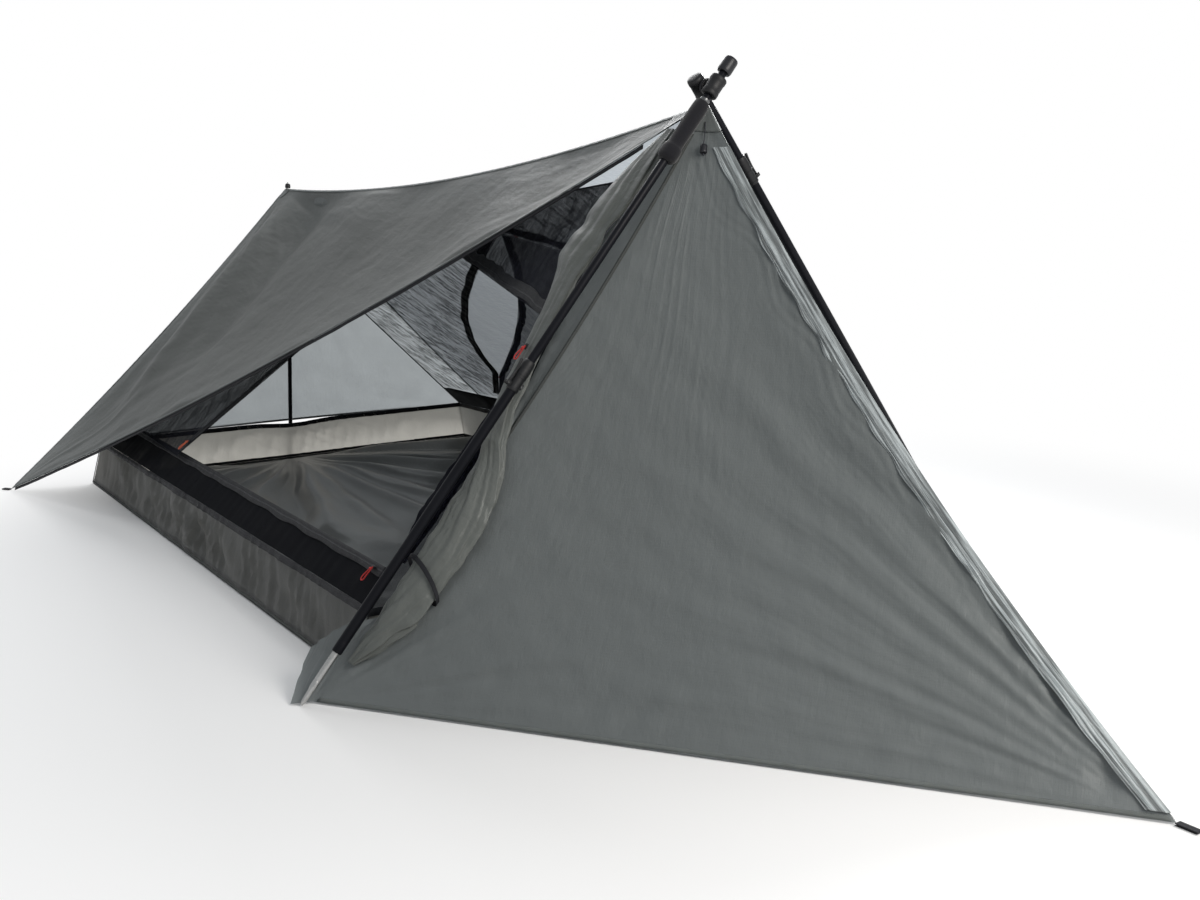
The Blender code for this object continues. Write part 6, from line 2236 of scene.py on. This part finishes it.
# %% Rear pole
rear_foot, rear_top = Vector(REAR_FOOT), Vector(REAR_TOP)
rear_up = (rear_top - rear_foot).normalized()
rear_length = (rear_top - rear_foot).length
rear_side = (Vector((1, 0, 0)) - rear_up * rear_up.x).normalized()
rear_frame = Matrix.Translation(rear_foot) @ Matrix((rear_side, rear_up.cross(rear_side),
                                                     rear_up)).transposed().to_4x4()
lathe("rear_pole_turned",
      [(0.0001, 0.0), (0.0064, 0.0), (0.0076, 0.0006), (0.0082, 0.002), (0.0082, 0.017),
       (0.0078, 0.0184),
       (0.0062, 0.0200), (0.0062, 0.420), (0.0068, 0.4205), (0.0068, 0.4480), (0.0062, 0.4485),
       (0.0062, rear_length - 0.0006), (0.0056, rear_length)],
      rear_frame, tube_paint, "shelter", ["rear_pole"])
lathe("rear_pin_turned",
      [(0.0048, rear_length + 0.0003), (0.0050, rear_length + 0.0006), (0.0050, rear_length + 0.0034),
       (0.0046, rear_length + 0.0040), (0.0022, rear_length + 0.0042), (0.0022, rear_length + 0.0350),
       (0.0019, rear_length + 0.0368), (0.0012, rear_length + 0.0380), (0.0001, rear_length + 0.0381)],
      rear_frame, tip_metal, "shelter", ["rear_pole_pin"], sides=28)


def grommet(name, place, normal, inner, outer, high):
    turned = Vector(normal).to_track_quat("Z", "Y").to_matrix().to_4x4()
    frame_here = Matrix.Translation(Vector(place)) @ turned
    return lathe(name, [(inner, 0), (outer, 0), (outer, high * 0.4), ((inner + outer) / 2, high),
                        (inner, high * 0.5)],
                 frame_here, tip_metal, "shelter", closed=True, sides=36)


eyelet_at = ridge(PIN_RUN / RIDGE_RUN) + np.array((0, 0, 0.0022))
grommet("rear_eyelet", eyelet_at, (0, 0.05, 1), 0.0036, 0.0076, 0.0012)
cap_low = (Vector(eyelet_at) - rear_foot).dot(rear_up) + 0.0016
lathe("rear_pin_cap",
      [(0.0024, cap_low), (0.0066, cap_low), (0.0078, cap_low + 0.0008), (0.0082, cap_low + 0.0030),
       (0.0078, cap_low + 0.0080), (0.0068, cap_low + 0.0115), (0.0046, cap_low + 0.0134),
       (0.0024, cap_low + 0.0140)],
      rear_frame, black_plastic, "shelter", closed=True, sides=32)
print("cap sits", round((cap_low - rear_length) * 1000, 1), "mm above the tube")
print("rear pole ready")

# %% [markdown]
# ## Zip sliders, their pulls and the cord lock
#
# A slider is two small plates joined by a wedge at the front, with the coil running between them
# and a bridge on top that holds the pull. Each pull here is a doubled red cord, knotted under the
# bridge. The cord is limp and under three millimetres thick, so it simply hangs in a narrow loop.

# %% The parts of a slider
red_cord = braided("red_cord", grey(190, 36, 42), fleck=grey(222, 62, 58))
orange_cord = braided("red_cord_faded", grey(196, 78, 50), fleck=grey(222, 112, 76))
TAPE_TOP = 0.0010 + 0.0005 + 0.0012
PULL_DIAMETER, PULL_DROP, PULL_BEND = 0.0026, 0.026, 0.0055
STRAND_GAP = 0.0023


def slider_frame(place, run, outward):
    """Origin on the tape, X along the zip and Z away from the tape."""
    run, outward = Vector(run).normalized(), Vector(outward)
    outward = (outward - run * outward.dot(run)).normalized()
    turn = Matrix((run, outward.cross(run), outward)).transposed().to_4x4()
    return Matrix.Translation(Vector(place) + outward * 0.0006) @ turn, outward


def slider_shell(name, frame_here, body, node):
    """Two plates with a tapered nose, the wedge between them, and the bridge over the top plate."""

    def tapered(point):
        nose = min(max((point.x + 0.0060) / 0.0120, 0), 1)
        point.y *= 0.74 + 0.30 * nose - 0.12 * nose**3
        return point

    def arched(point):
        point.z += 0.0011 * (1 - (point.x / 0.0042) ** 2)
        return point

    plates = [soft_box((-0.0060, -0.0040, low), (0.0060, 0.0040, low + 0.0011), 0.0004, 2, tapered)
              for low in (0.0002, 0.0026)]
    wedge = soft_box((0.0020, -0.0012, 0.0008), (0.0056, 0.0012, 0.0030), 0.0004)
    bridge = soft_box((-0.0042, -0.0011, 0.0040), (0.0042, 0.0011, 0.0050), 0.0004, 3, arched)
    posts = [soft_box((x - 0.0008, -0.0011, 0.0034), (x + 0.0008, 0.0011, 0.0048), 0.0003)
             for x in (-0.0036, 0.0036)]
    return assembled(f"{name}_shell", plates + [wedge, bridge] + posts, frame_here, cap_plastic, body,
                     [node])


def doubled_cord(name, start, hang, outward, finish, body):
    """A cord that hangs from the bridge, turns in a small loop and comes back up to its knot."""
    start, hang, outward = np.array(start), np.array(hang), np.array(outward)
    aside = np.cross(outward, hang)
    down = np.linspace(0, 1, 16)
    spread = STRAND_GAP + (PULL_BEND - STRAND_GAP) * smooth(down, 0, 1)
    turn = np.linspace(0, math.pi, 16)[1:-1]
    first = start + hang * (PULL_DROP * down)[:, None] + aside * spread[:, None]
    loop = start + hang * (PULL_DROP + PULL_BEND * np.sin(turn))[:, None]
    loop = loop + aside * (PULL_BEND * np.cos(turn))[:, None]
    back = start + hang * (PULL_DROP * down[::-1][:-3])[:, None] - aside * spread[::-1][:-3, None]
    points = np.concatenate([first, loop, back])
    reach = (points - start) @ hang
    points = points + outward * (0.0030 * smooth(reach, 0, PULL_DROP))[:, None]
    piece = smooth_curve(name, points, PULL_DIAMETER / 2)
    piece.data.materials.append(finish)
    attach(piece, body)
    knot(f"{name}_knot", tuple(points[-1] + aside * STRAND_GAP), 0.0034, finish, body)
    length = float(np.linalg.norm(np.diff(points, axis=0), axis=1).sum())
    return length


def slider(node, place, run, outward, hang, body, finish=red_cord):
    frame_here, outward = slider_frame(place, run, outward)
    slider_shell(node, frame_here, body, node)
    hang = Vector(hang)
    hang = (hang - outward * min(hang.dot(outward), 0)).normalized()
    start = frame_here @ Vector((0, 0, 0.0052))
    return doubled_cord(f"{node}_pull", start, hang, outward, finish, body)


print("slider parts ready")

# %% Six sliders on the tent's zips
DOWN = (0, 0, -1)


def on_tape(point, outward):
    return point + unit(np.array(outward, float)) * TAPE_TOP


def arch_slider(node, side, share, run, hang, body, finish=red_cord):
    """A slider on an arch tape, ten millimetres in from the edge of the wall."""
    wall = fixed_wall(side)

    def at(s, t):
        return wall(np.array(float(s)), np.array(float(t)))

    depth = COIL_IN / float(np.linalg.norm(at(share, 1) - at(share, 0)))
    normal = unit(np.cross(at(share + 0.004, depth) - at(share - 0.004, depth),
                           at(share, depth + 0.008) - at(share, depth)))
    normal = normal if normal @ np.array((side, 0, 0.8)) > 0 else -normal
    return slider(node, on_tape(at(share, depth), normal), run, normal, hang, body, finish)


strip_left = strip_plane(-1)
strip_at = [strip_left(np.array(s), np.array(0.86)) for s in (0.0, 0.03, 1.0)]
STRIP_OUT = (-0.77, 0, 0.64)
slider("slider_left_front", on_tape(strip_at[1], STRIP_OUT), strip_at[2] - strip_at[0], STRIP_OUT, DOWN,
       "strip_slider")
arch_slider("slider_left_rear", -1, 0.030, LEG_TOP[-1] - LEG_FOOT[-1], DOWN, "leg_slider", orange_cord)
arch_slider("slider_right_lower", 1, 0.070, LEG_FOOT[1] - LEG_TOP[1], DOWN, "lens_lower_slider")
arch_slider("slider_right_upper", 1, 0.520, FRONT_TOP[1] - LEG_TOP[1], (0.3, 0, -1),
            "lens_upper_slider")

door, roof = PANELS["door_right"], PANELS["roof_right"]
side_spot = np.array(1.0), np.array(0.93)
edge_normals = door.normal(*side_spot), roof.normal(*side_spot)
edge_out = unit(edge_normals[0] + edge_normals[1])
side_place = door.place(*side_spot) + edge_out * (0.0029 / (edge_out @ edge_normals[0]))
slider("slider_side_right", side_place, APEX - REAR_CORNER[1], (0.75, 0, 0.66), DOWN, "side_slider")

parked, parked_out = beside_seam(np.array(0.43), np.array(-0.052))
slider("slider_fly_left", parked + parked_out * (2 * 0.0165 + ROLL_CLEARANCE - 0.0030),
       pole_seam(-1)(0.45) - pole_seam(-1)(0.41), parked_out, DOWN, "shelter")
print("sliders made")

# %% The cord lock
lock_run = unit(cord_low - cord_top)
lock_middle = between(cord_top, cord_low, 0.84)
lock_up = -Vector(lock_run)
lock_side = Vector(lock_run).cross(Vector((0, 0, 1))).normalized()
lock_frame = Matrix.Translation(Vector(lock_middle)) @ Matrix(
    (lock_side, lock_up.cross(lock_side), lock_up)).transposed().to_4x4()
BORE = CORD_RADIUS + 0.0003
lathe("cord_lock_barrel",
      [(BORE, -0.0090), (0.0044, -0.0090), (0.0056, -0.0086), (0.0066, -0.0074), (0.0068, -0.0060),
       (0.0068, 0.0022),
       (0.0064, 0.0026), (0.0064, 0.0032), (0.0068, 0.0036), (0.0068, 0.0060), (0.0064, 0.0074),
       (0.0054, 0.0086),
       (0.0044, 0.0090), (BORE, 0.0090)],
      lock_frame, cap_plastic, "cord_lock", ["cord_lock"], closed=True, sides=36)
print("cord lock turned")

# %% [markdown]
# ## The stage
#
# A pale floor and a pale sky stand in for the studio. The camera sees the far floor and the sky as
# plain white, while the floor near the tent keeps its soft shadow. An even sky gives most of the
# light. One broad lamp stands behind and to the right, so that daylight comes through the far
# panels. Three weaker ones help it: one above the rear for the roof, one in front for the cloth
# near the front stake, and a narrow one on the right for the band near the apex.


# %% Floor, sky and lamps
def white_floor():
    """Plain white, that fades from lit floor near the tent to pure white for the camera further out."""
    made = Finish("stage_white")
    rays = made.tree.nodes.new("ShaderNodeLightPath")
    camera_ray = Value(made.tree, rays.outputs["Is Camera Ray"])
    shiny_ray = Value(made.tree, rays.outputs["Is Glossy Ray"])
    clear_ray = Value(made.tree, rays.outputs["Is Transmission Ray"])
    seen = camera_ray.math("MAXIMUM", shiny_ray).math("MAXIMUM", clear_ray)
    place = made.place("Object")
    reach = made.node("VectorMath", {"operation": "LENGTH"}, output=1, Vector=place)
    far = ((reach - 1.2) * (1 / 1.1)).clamped()
    shade = made.blend(seen, (0.30, 0.28, 0.25, 1), (0.90, 0.90, 0.90, 1))
    lit = made.node("BsdfPrincipled", Base_Color=shade, Roughness=0.9, Specular_IOR_Level=0.1)
    white = made.node("Emission", Color=(1, 1, 1, 1), Strength=1.0)
    return made.close(made.node("MixShader", i0=far * far * (3 - 2 * far) * seen, i1=lit, i2=white))


bpy.ops.mesh.primitive_plane_add(size=60, location=(0, 0, -0.0005))
floor_plane = bpy.context.object
floor_plane.name = "stage_floor"
floor_plane.data.materials.append(white_floor())
floor_plane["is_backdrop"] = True

world = bpy.data.worlds.new("sky")
bpy.context.scene.world = world
world.use_nodes = True
sky = world.node_tree
sky.nodes.clear()
rays = sky.nodes.new("ShaderNodeLightPath")
even, back = sky.nodes.new("ShaderNodeBackground"), sky.nodes.new("ShaderNodeBackground")
even.inputs["Color"].default_value, even.inputs["Strength"].default_value = (0.94, 0.97, 1.0, 1), 0.50
back.inputs["Color"].default_value, back.inputs["Strength"].default_value = (1, 1, 1, 1), 1.0
choose, end = sky.nodes.new("ShaderNodeMixShader"), sky.nodes.new("ShaderNodeOutputWorld")
sky.links.new(rays.outputs["Is Camera Ray"], choose.inputs[0])
sky.links.new(even.outputs[0], choose.inputs[1])
sky.links.new(back.outputs[0], choose.inputs[2])
sky.links.new(choose.outputs[0], end.inputs["Surface"])


def soft_lamp(name, place, target, size, power, colour=(1, 1, 1)):
    bpy.ops.object.light_add(type="AREA", location=place)
    lamp = bpy.context.object
    lamp.name = name
    lamp.data.color = colour
    lamp.rotation_euler = (Vector(target) - Vector(place)).to_track_quat("-Z", "Y").to_euler()
    lamp.data.shape = "DISK"
    lamp.data.size = size
    lamp.data.energy = power
    return lamp


soft_lamp("light_behind", (2.2, 3.6, 3.0), (0, 0.5, 0.3), 3.0, 140)
soft_lamp("light_above_rear", (-0.4, 2.8, 3.4), (-0.2, 0.4, 0.6), 1.2, 16)
soft_lamp("light_front", (0.1, -2.85, 1.7), (0.0, -1.3, 0.3), 1.4, 46, (1.0, 0.96, 0.91))
soft_lamp("light_right_of_apex", (0.62, -0.14, 1.40), (0.08, -0.14, 0.91), 0.25, 18)
bpy.context.scene.view_settings.view_transform = "Standard"
print("stage ready")

# %% [markdown]
# ## Finishing
#
# The last step compares the dressed tent with the measured box.

# %% Sizes and the end
low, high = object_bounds()
print("grown by (mm):", [round((a - b) * 1000, 1) for a,
                         b in zip(list(cad_low) + list(high), list(low) + list(cad_high))])
